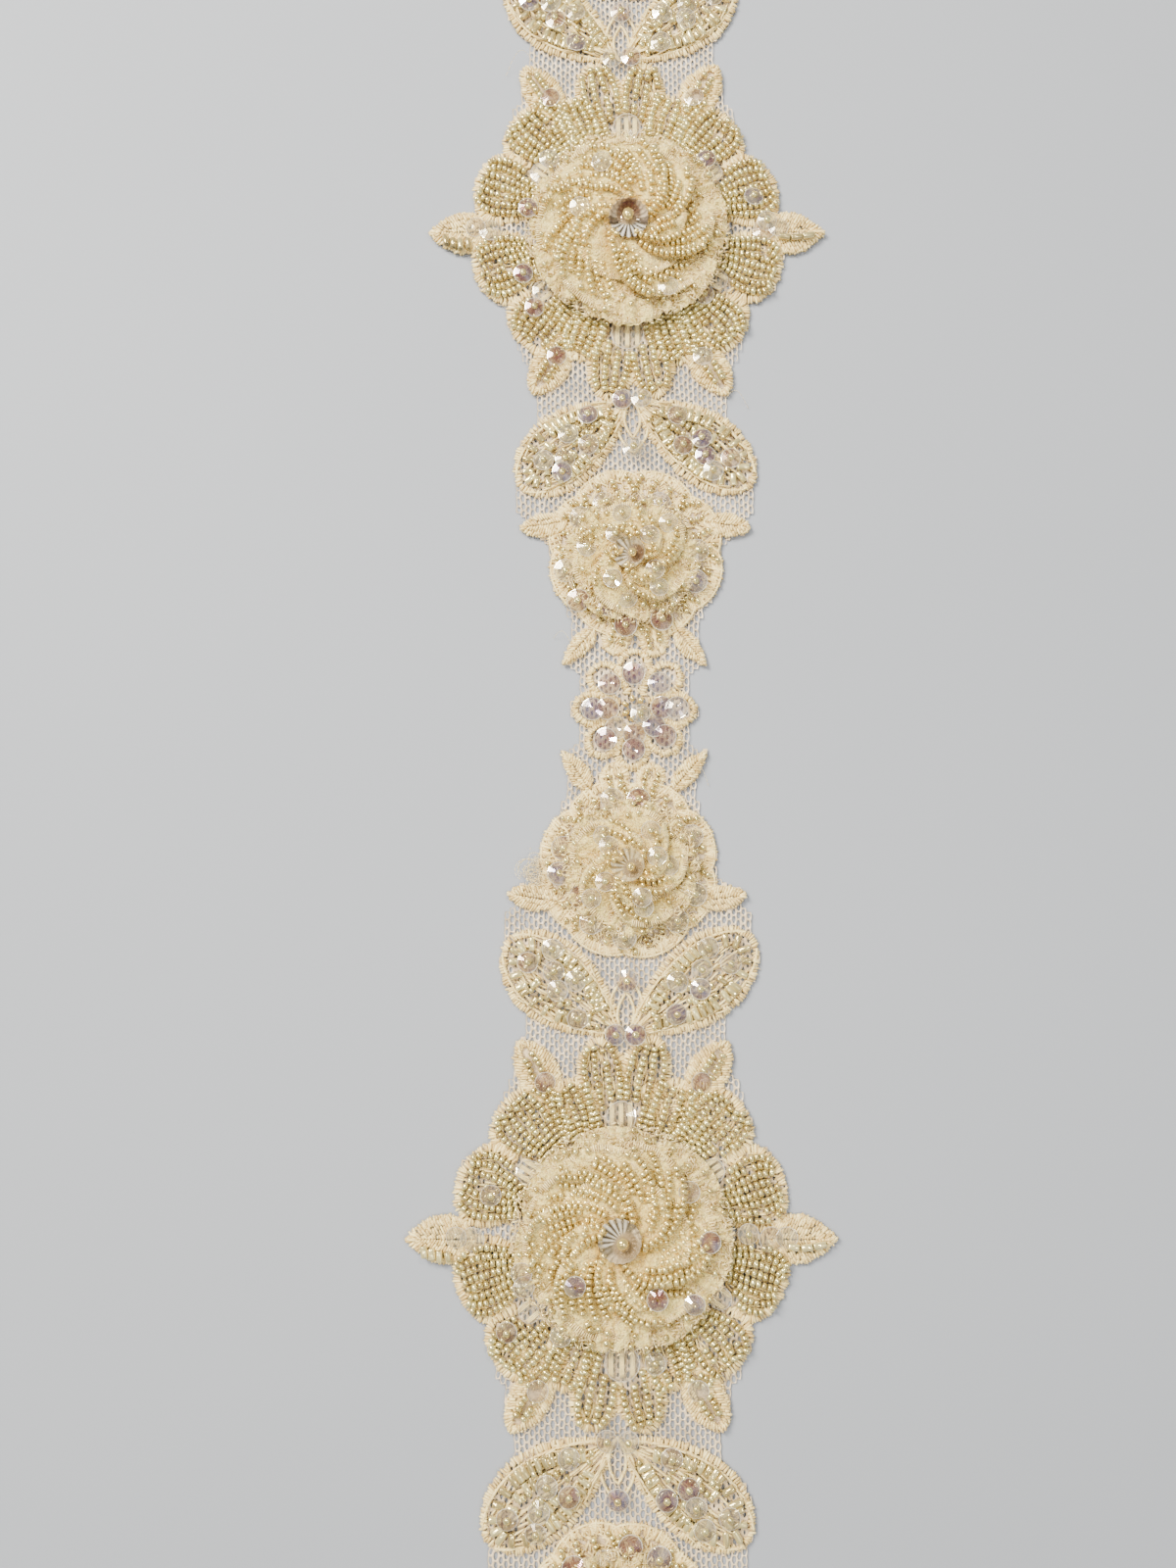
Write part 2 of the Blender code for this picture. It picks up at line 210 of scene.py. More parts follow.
def net_outline():
    """The net's cut edge as a closed loop: its right side, and the same mirrored."""
    right = []
    for centre in FLOWERS:
        for way in (-1, 1):
            rows = [e for e in NET_EDGE if centre * way < 0 or e.along <= CUT]
            right += [(e.half, centre + way * e.along) for e in (rows[::-1] if way < 0 else rows)]
    loop = np.array(right + [(-x, y) for x, y in reversed(right)], float)
    loop[:, 0] += bow(loop[:, 1])
    return loop


def walk(path, pitch, start=0.5):
    """Points at an even pitch along a path, and the path's direction at each."""
    steps = np.diff(path, axis=0)
    lengths = np.maximum(np.linalg.norm(steps[:, :2], axis=1), 1e-9)
    total = np.concatenate([[0], np.cumsum(lengths)])
    at = np.arange(start * pitch, total[-1], pitch)
    places = np.stack([np.interp(at, total, path[:, k]) for k in range(path.shape[1])], axis=1)
    k = np.clip(np.searchsorted(total, at, side="right") - 1, 0, len(steps) - 1)
    return places, steps[k, :2] / lengths[k, None]


def stacked(walks):
    """The places and directions of several walks, as two arrays."""
    return [np.vstack(part) for part in zip(*walks)]


def left_of(direction):
    """Flat directions turned a quarter turn to their left."""
    return np.stack([-direction[:, 1], direction[:, 0]], axis=1)


def at_height(points, z):
    """Flat points or directions with a height of their own."""
    return np.column_stack([points[:, :2], np.broadcast_to(z, len(points))])


def on_band(x, y):
    """A flat place that lies x to the side of the middle line."""
    return np.array([x + bow(y), y])


def round_about(middle, far, angle):
    """Flat places at distances and angles, in radians, about a middle."""
    return np.column_stack([middle[0] + far * np.cos(angle), middle[1] + far * np.sin(angle)])


def facing(angle):
    """The flat unit directions at angles in radians."""
    return np.column_stack([np.cos(angle), np.sin(angle)])


def rose_spot(n):
    """The middle of rose n, big roses first, as it is sewn on."""
    return on_band(0.0, (FLOWERS + ROSES)[n]) + SEWN_OFF[n]


# ---------------------------------------------------------------- shader maths
class Value:
    """A socket's value, so that sums of values can be written out. Each sum adds its Math node."""

    def __init__(self, paint, socket):
        self.paint, self.socket = paint, socket

    def sum(self, how, a, b):
        return Value(self.paint, self.paint.node("ShaderNodeMath", {"operation": how}, a, b).outputs[0])

    def __add__(self, other):
        return self.sum("ADD", self, other)

    def __sub__(self, other):
        return self.sum("SUBTRACT", self, other)

    def __rsub__(self, other):
        return self.sum("SUBTRACT", other, self)

    def __mul__(self, other):
        return self.sum("MULTIPLY", self, other)

    def __pow__(self, other):
        return self.sum("POWER", self, other)

    def clipped(self):
        """The value held between 0 and 1."""
        return self.sum("MINIMUM", self.sum("MAXIMUM", self, 0.0), 1.0)


class Paint:
    """One material, and the nodes that vary it."""

    def __init__(self, name, **sockets):
        self.material = bpy.data.materials.new(name)
        self.material.use_nodes = True
        self.tree = self.material.node_tree
        self.shader = self.tree.nodes["Principled BSDF"]
        for socket, value in sockets.items():
            self.shader.inputs[socket.replace("_", " ")].default_value = value

    def node(self, kind, settings=None, *values, **named):
        """A node of a kind, with its settings, then the values or links of its sockets."""
        node = self.tree.nodes.new(kind)
        for key, value in (settings or {}).items():
            if key == "stops":
                ramp = node.color_ramp.elements
                while len(ramp) < len(value):
                    ramp.new(0.5)
                for stop, (place, colour) in zip(ramp, value):
                    stop.position, stop.color = place, (*colour, 1.0)
            else:
                setattr(node, key, value)
        for key, value in [*enumerate(values), *named.items()]:
            self.link(node.inputs[key if isinstance(key, int) else key.replace("_", " ")], value)
        return node

    def link(self, socket, value):
        """Link a value or a socket to a socket, or set a plain number or colour on it."""
        if isinstance(value, Value):
            value = value.socket
        if isinstance(value, bpy.types.NodeSocket):
            self.tree.links.new(value, socket)
        else:
            socket.default_value = value

    def attribute(self, name):
        """A number that the mesh carries at each point."""
        return Value(self, self.node("ShaderNodeAttribute", {"attribute_name": name}).outputs["Fac"])

    def grain(self, scale, detail=2.0):
        """Noise from 0 to 1 in the piece's own coordinates."""
        place = self.node("ShaderNodeTexCoord").outputs["Object"]
        noisy = self.node("ShaderNodeTexNoise", None, Vector=place, Scale=scale, Detail=detail)
        return Value(self, noisy.outputs[0])

    def mix(self, share, a, b):
        """A colour between a and b. The node's colours are its inputs 6 and 7 and its output 2."""
        node = self.node("ShaderNodeMix", {"data_type": "RGBA"})
        for socket, value in ((node.inputs[0], share), (node.inputs[6], a), (node.inputs[7], b)):
            self.link(socket, value)
        return node.outputs[2]

    def ramp(self, share, *stops):
        """A colour that runs through stops, each a share and its colour."""
        return self.node("ShaderNodeValToRGB", {"stops": stops}, share).outputs[0]

    def feed(self, **sockets):
        """Link values to the shader's own sockets."""
        for socket, value in sockets.items():
            self.link(self.shader.inputs[socket.replace("_", " ")], value)

    def bump(self, height, strength, distance):
        """Fine relief in the shading."""
        made = self.node("ShaderNodeBump", None, Strength=strength, Distance=distance, Height=height)
        self.feed(Normal=made.outputs[0])


def rgb(r, g, b):
    """An opaque colour."""
    return (r, g, b, 1.0)


# ---------------------------------------------------------------- materials
FILM_BODY = 0.14  # how much of a film's colour shows where it is clearest


def thread_paint(name, dark, light, warm):
    """Silk or cotton thread: tone runs from its dark to its light, and warm turns it towards gold."""
    p = Paint(name, Roughness=0.4, Sheen_Weight=0.2, Sheen_Roughness=0.4, Specular_IOR_Level=0.6)
    tone = (p.attribute("tone") * 0.95 + p.grain(900.0) * 0.35 - 0.15).clipped()
    plain = p.mix(tone, dark, light)
    p.feed(Base_Color=p.mix(p.attribute("warm"), plain, warm))
    p.bump(p.grain(2600.0, 3.0), 0.35, 0.0001)
    return p.material


def glass_paint(name, dark, light, warm, metal):
    """Silver-lined glass: bright in its middle, with painted shade darkening it towards its ends, where its
    hole is and where it meets the next bead.
    """
    p = Paint(name, Metallic=metal, Coat_Weight=1.0, Coat_Roughness=0.03, Coat_IOR=1.5)
    tone = (p.attribute("tone") * 0.85 + p.grain(1400.0) * 0.3 - 0.08).clipped()
    body = p.mix(p.attribute("warm") * 0.65, p.mix(tone, dark, light), warm)
    # Painted shade: the rim mark darkens each bead's ends towards a dark brown, for its hole and the gap to its
    # neighbour.
    end = (p.attribute("rim") ** 4.0 * 0.55).clipped()
    p.feed(Base_Color=p.mix(end, body, rgb(0.20, 0.16, 0.08)))
    p.feed(Roughness=p.grain(2000.0) * 0.16 + 0.05)
    return p.material


def film_paint(name):
    """Clear film with a pearl coat: taupe, rose and violet patches, painted shade deepening it near its edge,
    and a painted highlight on its thin rim.
    """
    p = Paint(
        name, Metallic=0.45, Roughness=0.10, Coat_Weight=1.0, Coat_Roughness=0.05, Coat_IOR=2.1, IOR=1.55
    )
    drift = (p.grain(260.0, 1.0) * 0.5 + p.attribute("tone") * 0.75 - 0.12).clipped()
    pearl = p.ramp(
        drift, (0.0, (0.80, 0.74, 0.50)), (0.42, (0.60, 0.52, 0.34)), (0.58, (0.44, 0.26, 0.16)),
        (0.72, (0.22, 0.05, 0.06)), (0.84, (0.22, 0.17, 0.26)), (1.0, (0.90, 0.80, 0.56)),
    )
    out = p.attribute("rim")
    # Painted shade: the outer part of the film darkens towards a dull brown.
    shade = p.mix(((out - 0.55) * 2.0).clipped() * 0.6, pearl, rgb(0.30, 0.22, 0.15))
    # Painted highlight: a thin bright line round the very edge.
    rim = ((out - 0.91) * 14.0).clipped()
    deep = ((drift - 0.5) * 5.0).clipped() * ((0.95 - drift) * 8.0).clipped()
    p.feed(Base_Color=p.mix(rim, shade, rgb(1.0, 0.90, 0.68)))
    body = rim * 0.5 + out * 0.08 + deep * 0.18 + FILM_BODY
    p.feed(Alpha=(body - p.attribute("warm") * 0.08).clipped())
    return p.material


def cup_paint(name):
    """The film of a deep cup, painted with light and shade: ribs with painted light on one side and painted
    shade in their grooves, a band of painted shade beside them, and maroon painted shade opposite.
    """
    p = Paint(name, Metallic=0.25, Roughness=0.07, Coat_Weight=1.0, Coat_Roughness=0.02)
    out = p.attribute("rim")
    side = (p.attribute("side") * 0.5 + p.grain(420.0) * 0.3 + 0.35).clipped()
    # Painted light by the side mark: tan on the shaded side, a dark band of painted shade, then bright painted
    # light where the cup is lit.
    glass = p.ramp(
        side, (0.0, (0.62, 0.45, 0.26)), (0.4, (0.70, 0.56, 0.36)), (0.52, (0.14, 0.10, 0.07)),
        (0.68, (0.20, 0.16, 0.11)), (0.76, (1.0, 0.92, 0.74)), (1.0, (1.0, 0.95, 0.82)),
    )
    # Painted shade in the grooves between the ribs, strongest on the lit side; where gold cloth shows through,
    # the grooves turn a deeper gold.
    rib = (p.attribute("flute") * 1.3 + (1.0 - side) * 0.8 - 0.25).clipped()
    clear = p.mix(rib, rgb(0.34, 0.22, 0.07), rgb(0.95, 0.80, 0.45))
    ribs = p.mix(p.attribute("warm"), p.mix(rib, rgb(0.05, 0.04, 0.025), glass), clear)
    # Maroon painted shade in the cup's middle, opposite its painted light; the tone mark sets how dark.
    wine = p.mix(p.attribute("tone"), rgb(0.34, 0.24, 0.12), rgb(0.10, 0.03, 0.018))
    middle = p.mix(side, wine, rgb(0.48, 0.36, 0.20))
    # The ribs with painted light reach further in on the lit side.
    edge = ((out + side * 0.42 - 0.7) * 7.0).clipped()
    p.feed(Base_Color=p.mix(edge, middle, ribs))
    p.feed(Alpha=(out ** 8.0 * 0.2 + 0.78 - p.attribute("warm") * 0.25).clipped())
    return p.material


def gauze_paint(name):
    """Crinkled organza: cream at its edge, with painted golden shade in its folds and under other cloth, a fine
    weave and a soft fuzz.
    """
    p = Paint(name, Roughness=0.7, Sheen_Weight=0.3, Sheen_Roughness=0.5, Specular_IOR_Level=0.3)
    # Painted shade: the warm mark, set by each sheet, turns the cloth towards a darker gold in its folds and
    # under other cloth.
    warm = (p.attribute("warm") + p.grain(380.0, 4.0) * 1.1 - 0.55).clipped()
    tone = (p.grain(2000.0, 3.0) * 3.6 - 1.05).clipped()
    cream = p.mix(tone, rgb(0.58, 0.36, 0.07), rgb(1.0, 0.80, 0.25))
    p.feed(Base_Color=p.mix(warm * 0.9, cream, rgb(0.66, 0.38, 0.05)))
    p.bump(p.grain(3000.0, 4.0) + p.grain(900.0, 3.0) * 1.6, 1.0, 0.0007)
    return p.material


def table_paint():
    """Pale paper with painted light far off: its colour turns paler where the lamps hardly reach."""
    p = Paint("table", Roughness=0.85, Specular_IOR_Level=0.2)
    near = p.mix(p.grain(6.0, 3.0).clipped(), rgb(0.29, 0.30, 0.312), rgb(0.33, 0.34, 0.352))
    place = p.node("ShaderNodeTexCoord").outputs["Object"]
    away = Value(p, p.node("ShaderNodeVectorMath", {"operation": "LENGTH"}, place).outputs["Value"])
    # Painted light: from 0.35 m out the paper's colour rises towards a pale near-white, standing in for lamp
    # light that does not reach it.
    p.feed(Base_Color=p.mix(((away - 0.35) * 1.1).clipped(), near, rgb(0.90, 0.92, 0.95)))
    return p.material


PAINTS = {
    "net": thread_paint("net_thread", rgb(0.42, 0.30, 0.15), rgb(0.90, 0.70, 0.42), rgb(0.7, 0.5, 0.3)),
    "silk": thread_paint("silk_thread", rgb(0.56, 0.36, 0.09), rgb(1.0, 0.80, 0.33), rgb(0.80, 0.50, 0.08)),
    "fuzz": thread_paint("fuzz", rgb(0.62, 0.39, 0.11), rgb(1.0, 0.82, 0.40), rgb(0.80, 0.50, 0.09)),
    "gauze": gauze_paint("gauze"),
    "seed": glass_paint("seed_glass", rgb(0.58, 0.41, 0.12), rgb(1.0, 0.88, 0.38), rgb(0.98, 0.70, 0.19), 0.70),
    "tube": glass_paint("tube_glass", rgb(0.40, 0.28, 0.09), rgb(1.0, 0.85, 0.38), rgb(0.88, 0.60, 0.18), 0.58),
    "film": film_paint("film"),
    "cup_film": cup_paint("cup_film"),
}


# ---------------------------------------------------------------- small shapes
Shape = namedtuple("Shape", "points faces marks")


def shape_of(bm, **marks):
    """A small bmesh as arrays of points and triangles, and marks: functions of a point, kept for the paints."""
    bmesh.ops.triangulate(bm, faces=bm.faces)
    bmesh.ops.recalc_face_normals(bm, faces=bm.faces)
    bm.verts.index_update()
    points = np.array([v.co for v in bm.verts])
    faces = np.array([[v.index for v in f.verts] for f in bm.faces])
    bm.free()
    kept = {key: np.array([mark(*p) for p in points]) for key, mark in marks.items()}
    return Shape(points, faces, kept)


def spun(section, sides, closed, axis=(1.0, 0.0, 0.0)):
    """A section turned all the way round an axis. A closed one ends where it began, so it makes a ring."""
    bm = bmesh.new()
    verts = [bm.verts.new(p) for p in section]
    pairs = list(zip(verts, verts[1:])) + ([(verts[-1], verts[0])] if closed else [])
    edges = [bm.edges.new(pair) for pair in pairs]
    bmesh.ops.spin(
        bm, geom=verts + edges, cent=(0, 0, 0), axis=axis, angle=2 * math.pi, steps=sides, use_merge=True
    )
    bmesh.ops.remove_doubles(bm, verts=bm.verts, dist=1e-5)
    return bm


def stroke_shape(sides, plump):
    """A short length of thread along X, one unit long, pointed at both ends."""
    bm = spun([(-0.5, 0, 0), (-plump, 0, 0.5), (plump, 0, 0.5), (0.5, 0, 0)], sides, closed=False)
    return shape_of(bm)


def seed_shape():
    """A seed bead: a short fat barrel of glass round X, one unit across, its hole shown by painted shade at
    each end.
    """
    half = 0.36
    bm = spun([(-half, 0, 0), (-0.22, 0, 0.49), (0.22, 0, 0.49), (half, 0, 0)], 8, closed=False)
    return shape_of(bm, rim=lambda x, y, z: min(abs(x) / half, 1.0))


def tube_shape():
    """A short tube bead round X, one unit long, with its ends cut square."""
    section = [(-0.5, 0, 0.28), (-0.5, 0, 0.42), (-0.42, 0, 0.5)]
    section += [(-x, y, z) for x, y, z in reversed(section)]
    bm = spun(section, 7, closed=True)
    # rim is 1 at the cut ends, which the glass paint darkens with painted shade.
    return shape_of(bm, rim=lambda x, y, z: min(abs(x) * 2, 1.0) ** 6)


def sequin_shape():
    """A small domed sequin, one unit across: a flat middle with its hole, faceted sides and a thin rim."""
    section = [
        (0.06, 0, 0.11), (0.2, 0, 0.11), (0.47, 0, 0.01), (0.5, 0, 0.0), (0.5, 0, -0.015), (0.2, 0, 0.09),
    ]
    bm = spun(section, 14, closed=True, axis=UP)
    # rim runs from 0 in the middle to 1 at the edge; film_paint darkens the outer part with painted shade and
    # lights the edge with a painted highlight.
    return shape_of(bm, rim=lambda x, y, z: min(math.hypot(x, y) * 2, 1.0))


class Heap:
    """Copies of one small shape, gathered as rows of an array and joined into one mesh."""

    def __init__(self, shape):
        self.shape, self.rows = shape, []

    def add(self, centre, along, up, size, tone, warm=0.0):
        """Copies at centres, with their X along one direction and their Z near another.

        A row holds a copy's centre, along, up and size, three numbers each, then its tone and its warm.
        """
        centre = np.atleast_2d(centre)
        columns = [centre]
        for value, width in ((along, 3), (up, 3), (size, 3)):
            columns.append(np.broadcast_to(np.asarray(value, float), (len(centre), width)))
        for value in (tone, warm):
            columns.append(np.broadcast_to(np.asarray(value, float), (len(centre),))[:, None])
        self.rows.append(np.hstack(columns))

    def lay(self, start, end, width, height, tone, warm=0.0):
        """Strokes of thread from starts to ends."""
        run = end - start
        length = np.linalg.norm(run, axis=1)
        size = np.column_stack([length, np.broadcast_to(width, len(run)), np.broadcast_to(height, len(run))])
        along = run / np.maximum(length, 1e-9)[:, None]
        self.add((start + end) / 2, along, UP, size, tone, warm)

    def joined(self, name, paint, slot, smooth=True):
        """One piece of all the copies."""
        rows = np.vstack(self.rows)
        centre, along, up, size = (rows[:, k:k + 3] for k in (0, 3, 6, 9))
        tone, warm = rows[:, 12], rows[:, 13]
        x = along / np.linalg.norm(along, axis=1)[:, None]
        y = np.cross(up, x)
        y /= np.maximum(np.linalg.norm(y, axis=1), 1e-9)[:, None]
        axes = np.stack([x, y, np.cross(x, y)], axis=1) * size[:, :, None]
        places = np.einsum("nk,mkj->mnj", self.shape.points, axes) + centre[:, None]
        count, each = len(rows), len(self.shape.points)
        faces = self.shape.faces[None] + (np.arange(count) * each)[:, None, None]
        mesh = bpy.data.meshes.new(name)
        mesh.from_pydata((places.reshape(-1, 3) * MM).tolist(), [], faces.reshape(-1, 3).tolist())
        marks = {key: np.tile(values, count) for key, values in self.shape.marks.items()}
        marks.update(tone=np.repeat(tone, each), warm=np.repeat(warm, each))
        return piece(name, mesh, paint, marks, smooth)


def added(name, data):
    """A new object in the scene."""
    made = bpy.data.objects.new(name, data)
    bpy.context.scene.collection.objects.link(made)
    return made


def piece(name, mesh, paint, marks, smooth=True):
    """A mesh as a piece of the trim's one body, in its finish. marks hold a number for each point."""
    for key, values in marks.items():
        written = np.asarray(values, np.float32)
        mesh.attributes.new(key, "FLOAT", "POINT").data.foreach_set("value", written)
    if smooth:
        mesh.shade_smooth()
    mesh.materials.append(PAINTS[paint])
    made = added(name, mesh)
    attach(made, "root")
    return made


# ---------------------------------------------------------------- net
COLUMN = 0.88  # between two columns of holes
HOLE = 1.5  # from one hole to the next in its column
HOLE_RX = 0.33
HOLE_RY = 0.62
ZIG = 0.05  # how far the thread swings to each side between two columns
RIDGE = 0.1  # how far a thread's ridge stands over the edges of the holes beside it
NET_HALF_WIDE = 32  # how far the grid of holes goes before the net is cut to its outline
NET_HALF_LONG = 183
SHUT_UNDER_BIG = 15.0  # how near a rose's middle the net is stitched shut
SHUT_UNDER_SMALL = 9.5
# Round a hole, points 0 to 5 lie on the ridges and points 6 to 13 are the hole's edge.
BARS = [
    (0, 6, 13), (0, 1, 7, 6), (1, 2, 8, 7), (2, 3, 9, 8),
    (3, 10, 9), (3, 4, 11, 10), (4, 5, 12, 11), (5, 0, 13, 12),
]


def on_motifs(points, kinds):
    """Which points lie on a motif of one of these kinds."""
    on = np.zeros(len(points), bool)
    for motif in MOTIFS:
        if motif.kind in kinds:
            on |= inside(points, outline(motif, 24)[:-1, :2])
    return on


def net_holes(rng):
    """The middle of each hole of the net, and its share of a full hole's size, which is 0 if it is shut."""
    columns = np.arange(-int(NET_HALF_WIDE / COLUMN), int(NET_HALF_WIDE / COLUMN) + 1)
    rows = np.arange(-int(NET_HALF_LONG / HOLE), int(NET_HALF_LONG / HOLE) + 1)
    i, j = (a.ravel() for a in np.meshgrid(columns, rows))
    middle = np.column_stack([i * COLUMN, (j + 0.5 * (i % 2)) * HOLE]).astype(float)
    middle[:, 0] += bow(middle[:, 1])
    kept = inside(middle, net_outline())
    beaded = on_motifs(middle, {"petal", "fan", "wing", "daisy_petal"})
    shut = on_motifs(middle, {"rose_lobe", "scallop", "leaflet", "thorn", "leaf"})
    shut &= ~on_motifs(middle, {"wing"})
    kept = (kept | beaded | shut) & (np.abs(middle[:, 1]) < HALF_REPEAT + CUT - HOLE / 2)
    share = np.where(shut, 0.0, np.where(beaded, rng.uniform(0.55, 0.95, len(middle)), 1.0))
    for n in range(len(SEWN_OFF)):
        reach = SHUT_UNDER_BIG if n < BIG_ROSES else SHUT_UNDER_SMALL
        share[np.linalg.norm(middle - rose_spot(n), axis=1) < reach] = 0.0
    return middle[kept], share[kept]


def on_net(x, y, high):
    """A place on the net, which drifts a little sideways and up as soft cloth does."""
    dx, dy = (0.22 * noise.noise((x * 0.5, y * 0.5, place)) for place in (3.0, 9.0))
    return x + dx, y + dy, NET_Z + high + 0.25 * noise.noise((x * 0.08, y * 0.08, 5.0))


def lace_net():
    """The net: columns of long holes, each hole a ring of faces whose outer edge is the thread's ridge."""
    rng = np.random.default_rng(NET_DRAWS)
    ring = [(COLUMN / 2 + ZIG, 0), (COLUMN / 2 - ZIG, HOLE / 2), (-COLUMN / 2 + ZIG, HOLE / 2)]
    ring += [(-x, -y) for x, y in ring]
    edge = [(1, 0.35), (0.5, 1), (-0.5, 1), (-1, 0.35), (-1, -0.35), (-0.5, -1), (0.5, -1), (1, -0.35)]
    ring, edge = np.array(ring), np.array(edge) * (HOLE_RX, HOLE_RY)
    bm = bmesh.new()
    for (x, y), size in zip(*net_holes(rng)):
        corners = [on_net(x + dx, y + dy, RIDGE) for dx, dy in ring]
        if size == 0.0:
            bm.faces.new([bm.verts.new(c) for c in corners])
            continue
        size *= rng.uniform(0.88, 1.12)
        corners += [on_net(x + size * dx, y + size * dy, 0.0) for dx, dy in edge]
        verts = [bm.verts.new(c) for c in corners]
        for bar in BARS:
            bm.faces.new([verts[k] for k in bar])
    bmesh.ops.scale(bm, vec=(MM, MM, MM), verts=bm.verts)
    bmesh.ops.remove_doubles(bm, verts=bm.verts, dist=2e-6)
    mesh = bpy.data.meshes.new("lace_net")
    bm.to_mesh(mesh)
    bm.free()
    tones = [0.5 + 0.5 * noise.noise((v.co.x * 300, v.co.y * 300, 1.0)) for v in mesh.vertices]
    return piece("lace_net", mesh, "net", {"tone": tones})


# ---------------------------------------------------------------- embroidery
class Work:
    """All that is sewn on the net, heap by heap, and the one run of random draws behind it."""

    def __init__(self):
        self.edges, self.fills, self.cords = (Heap(stroke_shape(4, 0.3)) for _ in range(3))
        self.rose_threads, self.fuzz = Heap(stroke_shape(3, 0.3)), Heap(stroke_shape(3, 0.25))
        self.seeds, self.rose_seeds = Heap(seed_shape()), Heap(seed_shape())
        self.tubes = Heap(tube_shape())
        self.sequins, self.rose_sequins = Heap(sequin_shape()), Heap(sequin_shape())
        self.rng = np.random.default_rng(SEWING_DRAWS)

    def jitter(self, n, much, width=3):
        """Small random offsets, a row for each of n places."""
        return self.rng.uniform(-much, much, (n, width))

    def tones(self, n, low=0.1, high=1.0):
        """A random tone for each of n things, 0 for its paint's dark and 1 for its light."""
        return self.rng.uniform(low, high, n)


STITCH = 0.5  # from one satin stitch to the next
FILL_STROKE = 1.3  # a stitch's length inside a motif
CORD_STROKE = 1.5  # and in a cord
SEED_WIDE = 1.42  # a seed bead's width, its length is set by its shape
SEED_PITCH = 1.06  # from one seed bead to the next on its thread
ROW_GAP = 1.62  # between two rows of beads
TUBE_WIDE = 1.3
FILM_BEAD = 1.25  # the bead in a film sequin's middle


def satin_rim(work, motif, width, t_from, over=0.4, z=THREAD_Z, clear=None):
    """Short knotty stitches across a motif's edge, side by side, uneven at their outer ends."""
    places, way = walk(outline(motif), STITCH)
    keep = places[:, 2] > t_from
    if clear is not None:
        keep &= clear(places[:, :2])
    places, way = places[keep], way[keep]
    inward, n = left_of(way), keep.sum()
    if not n:
        return
    rng = work.rng
    out = rng.uniform(over - 0.55, over, n)[:, None]
    deep = width * rng.uniform(0.7, 1.1, n)[:, None]
    slant = rng.uniform(-0.3, 0.3, n)[:, None] * width
    start = at_height(places[:, :2] - inward * out, z - 0.22 + rng.uniform(-0.15, 0.15, n))
    end = at_height(places[:, :2] + inward * deep + way * slant, z + 0.08 + rng.uniform(-0.15, 0.15, n))
    thick = rng.uniform(0.42, 0.62, n)
    work.edges.lay(start, end, thick, thick, work.tones(n) ** 1.2)


def satin_fill(work, motif, slant, v_from=0.0):
    """Knotty stitches from a motif's middle line out to its edge, slanting to its tip."""
    rng = work.rng
    for side in (-1, 1):
        for t in np.arange(0.04, 0.97, STITCH / motif.length):
            near, far = on_motif(motif, [t, min(t + slant, 0.995)], [side * v_from, side * 1.0])
            run = np.linalg.norm(far - near)
            if run < 0.5:
                continue
            unit = (far - near) / run
            ends = np.arange(-rng.uniform(0, 0.9), run, FILL_STROKE * rng.uniform(0.8, 1.2))
            a, b = np.clip(ends, 0, run), np.clip(ends + FILL_STROKE * 1.2, 0, run + rng.uniform(0, 0.45))
            n = len(a)
            high = THREAD_Z + 0.35 * np.sin(np.clip((a + b) / 2 / run, 0, 1) * math.pi * 0.9 + 0.3)
            high += rng.uniform(-0.12, 0.12, n)
            off = work.jitter(n, 0.14, 2)
            thick = rng.uniform(0.42, 0.6, n)
            start = at_height(near + unit * a[:, None] + off, high)
            end = at_height(near + unit * b[:, None] - off, high - 0.1)
            work.fills.lay(start, end, thick, thick, work.tones(n) ** 1.2)


def cord(work, path, z=THREAD_Z, thick=0.5):
    """A line of stem stitch: each stroke starts beside the last one's middle."""
    places, way = walk(path, CORD_STROKE * 0.45)
    n = len(places)
    if n < 2:
        return
    side = left_of(way)
    start = places[:, :2] - way * CORD_STROKE / 2 - side * thick * 0.28
    end = places[:, :2] + way * CORD_STROKE / 2 + side * thick * 0.28
    work.cords.lay(at_height(start, z), at_height(end, z + 0.1), thick, thick * 0.9, work.tones(n, 0.3))


def threads(work, motif, count, length, t_span, z=GROUND_Z, clear=None, stray=0.12):
    """Loose long stitches over a motif's ground, running along it."""
    rng = work.rng
    t = rng.uniform(*t_span, count)
    v = rng.uniform(-0.85, 0.85, count)
    start = on_motif(motif, t, v)
    further = np.minimum(t + length / motif.length, 0.97)
    end = on_motif(motif, further, v + rng.uniform(-stray, stray, count))
    if clear is not None:
        keep = clear(start) & clear(end)
        start, end = start[keep], end[keep]
    work.fills.lay(at_height(start, z), at_height(end, z + 0.15), 0.36, 0.34, work.tones(len(start)))


def spaced(candidates, directions, gap):
    """The candidates that can stay so that no two are nearer than gap, with their directions."""
    kept, places = [], []
    for n, p in enumerate(candidates):
        if not places or np.min(np.linalg.norm(np.array(places) - p[:2], axis=1)) >= gap:
            places.append(p[:2])
            kept.append(n)
    return candidates[kept], directions[kept]


def bead_rows(work, motif, t_span, clear, v_reach=0.8, gap=ROW_GAP, size=SEED_WIDE):
    """Rows of seed beads that run from a motif's root to its edge, each bead threaded on its row."""
    count = max(int(round(motif.width * v_reach / gap)), 2)
    t = np.linspace(*t_span, 70)
    rows = []
    for v in sorted(np.linspace(-v_reach, v_reach, count), key=abs):
        bend = v * (1 - 0.12 * np.sin(math.pi * t))
        rows.append(walk(on_motif(motif, t, bend), SEED_PITCH, work.rng.uniform(0.2, 0.9)))
    spots, ways = stacked(rows)
    keep = clear(spots) & (work.rng.uniform(size=len(spots)) > 0.03)
    spots, ways = spaced(spots[keep], ways[keep], 0.92)
    seeds(work, work.seeds, spots, ways, size=size)


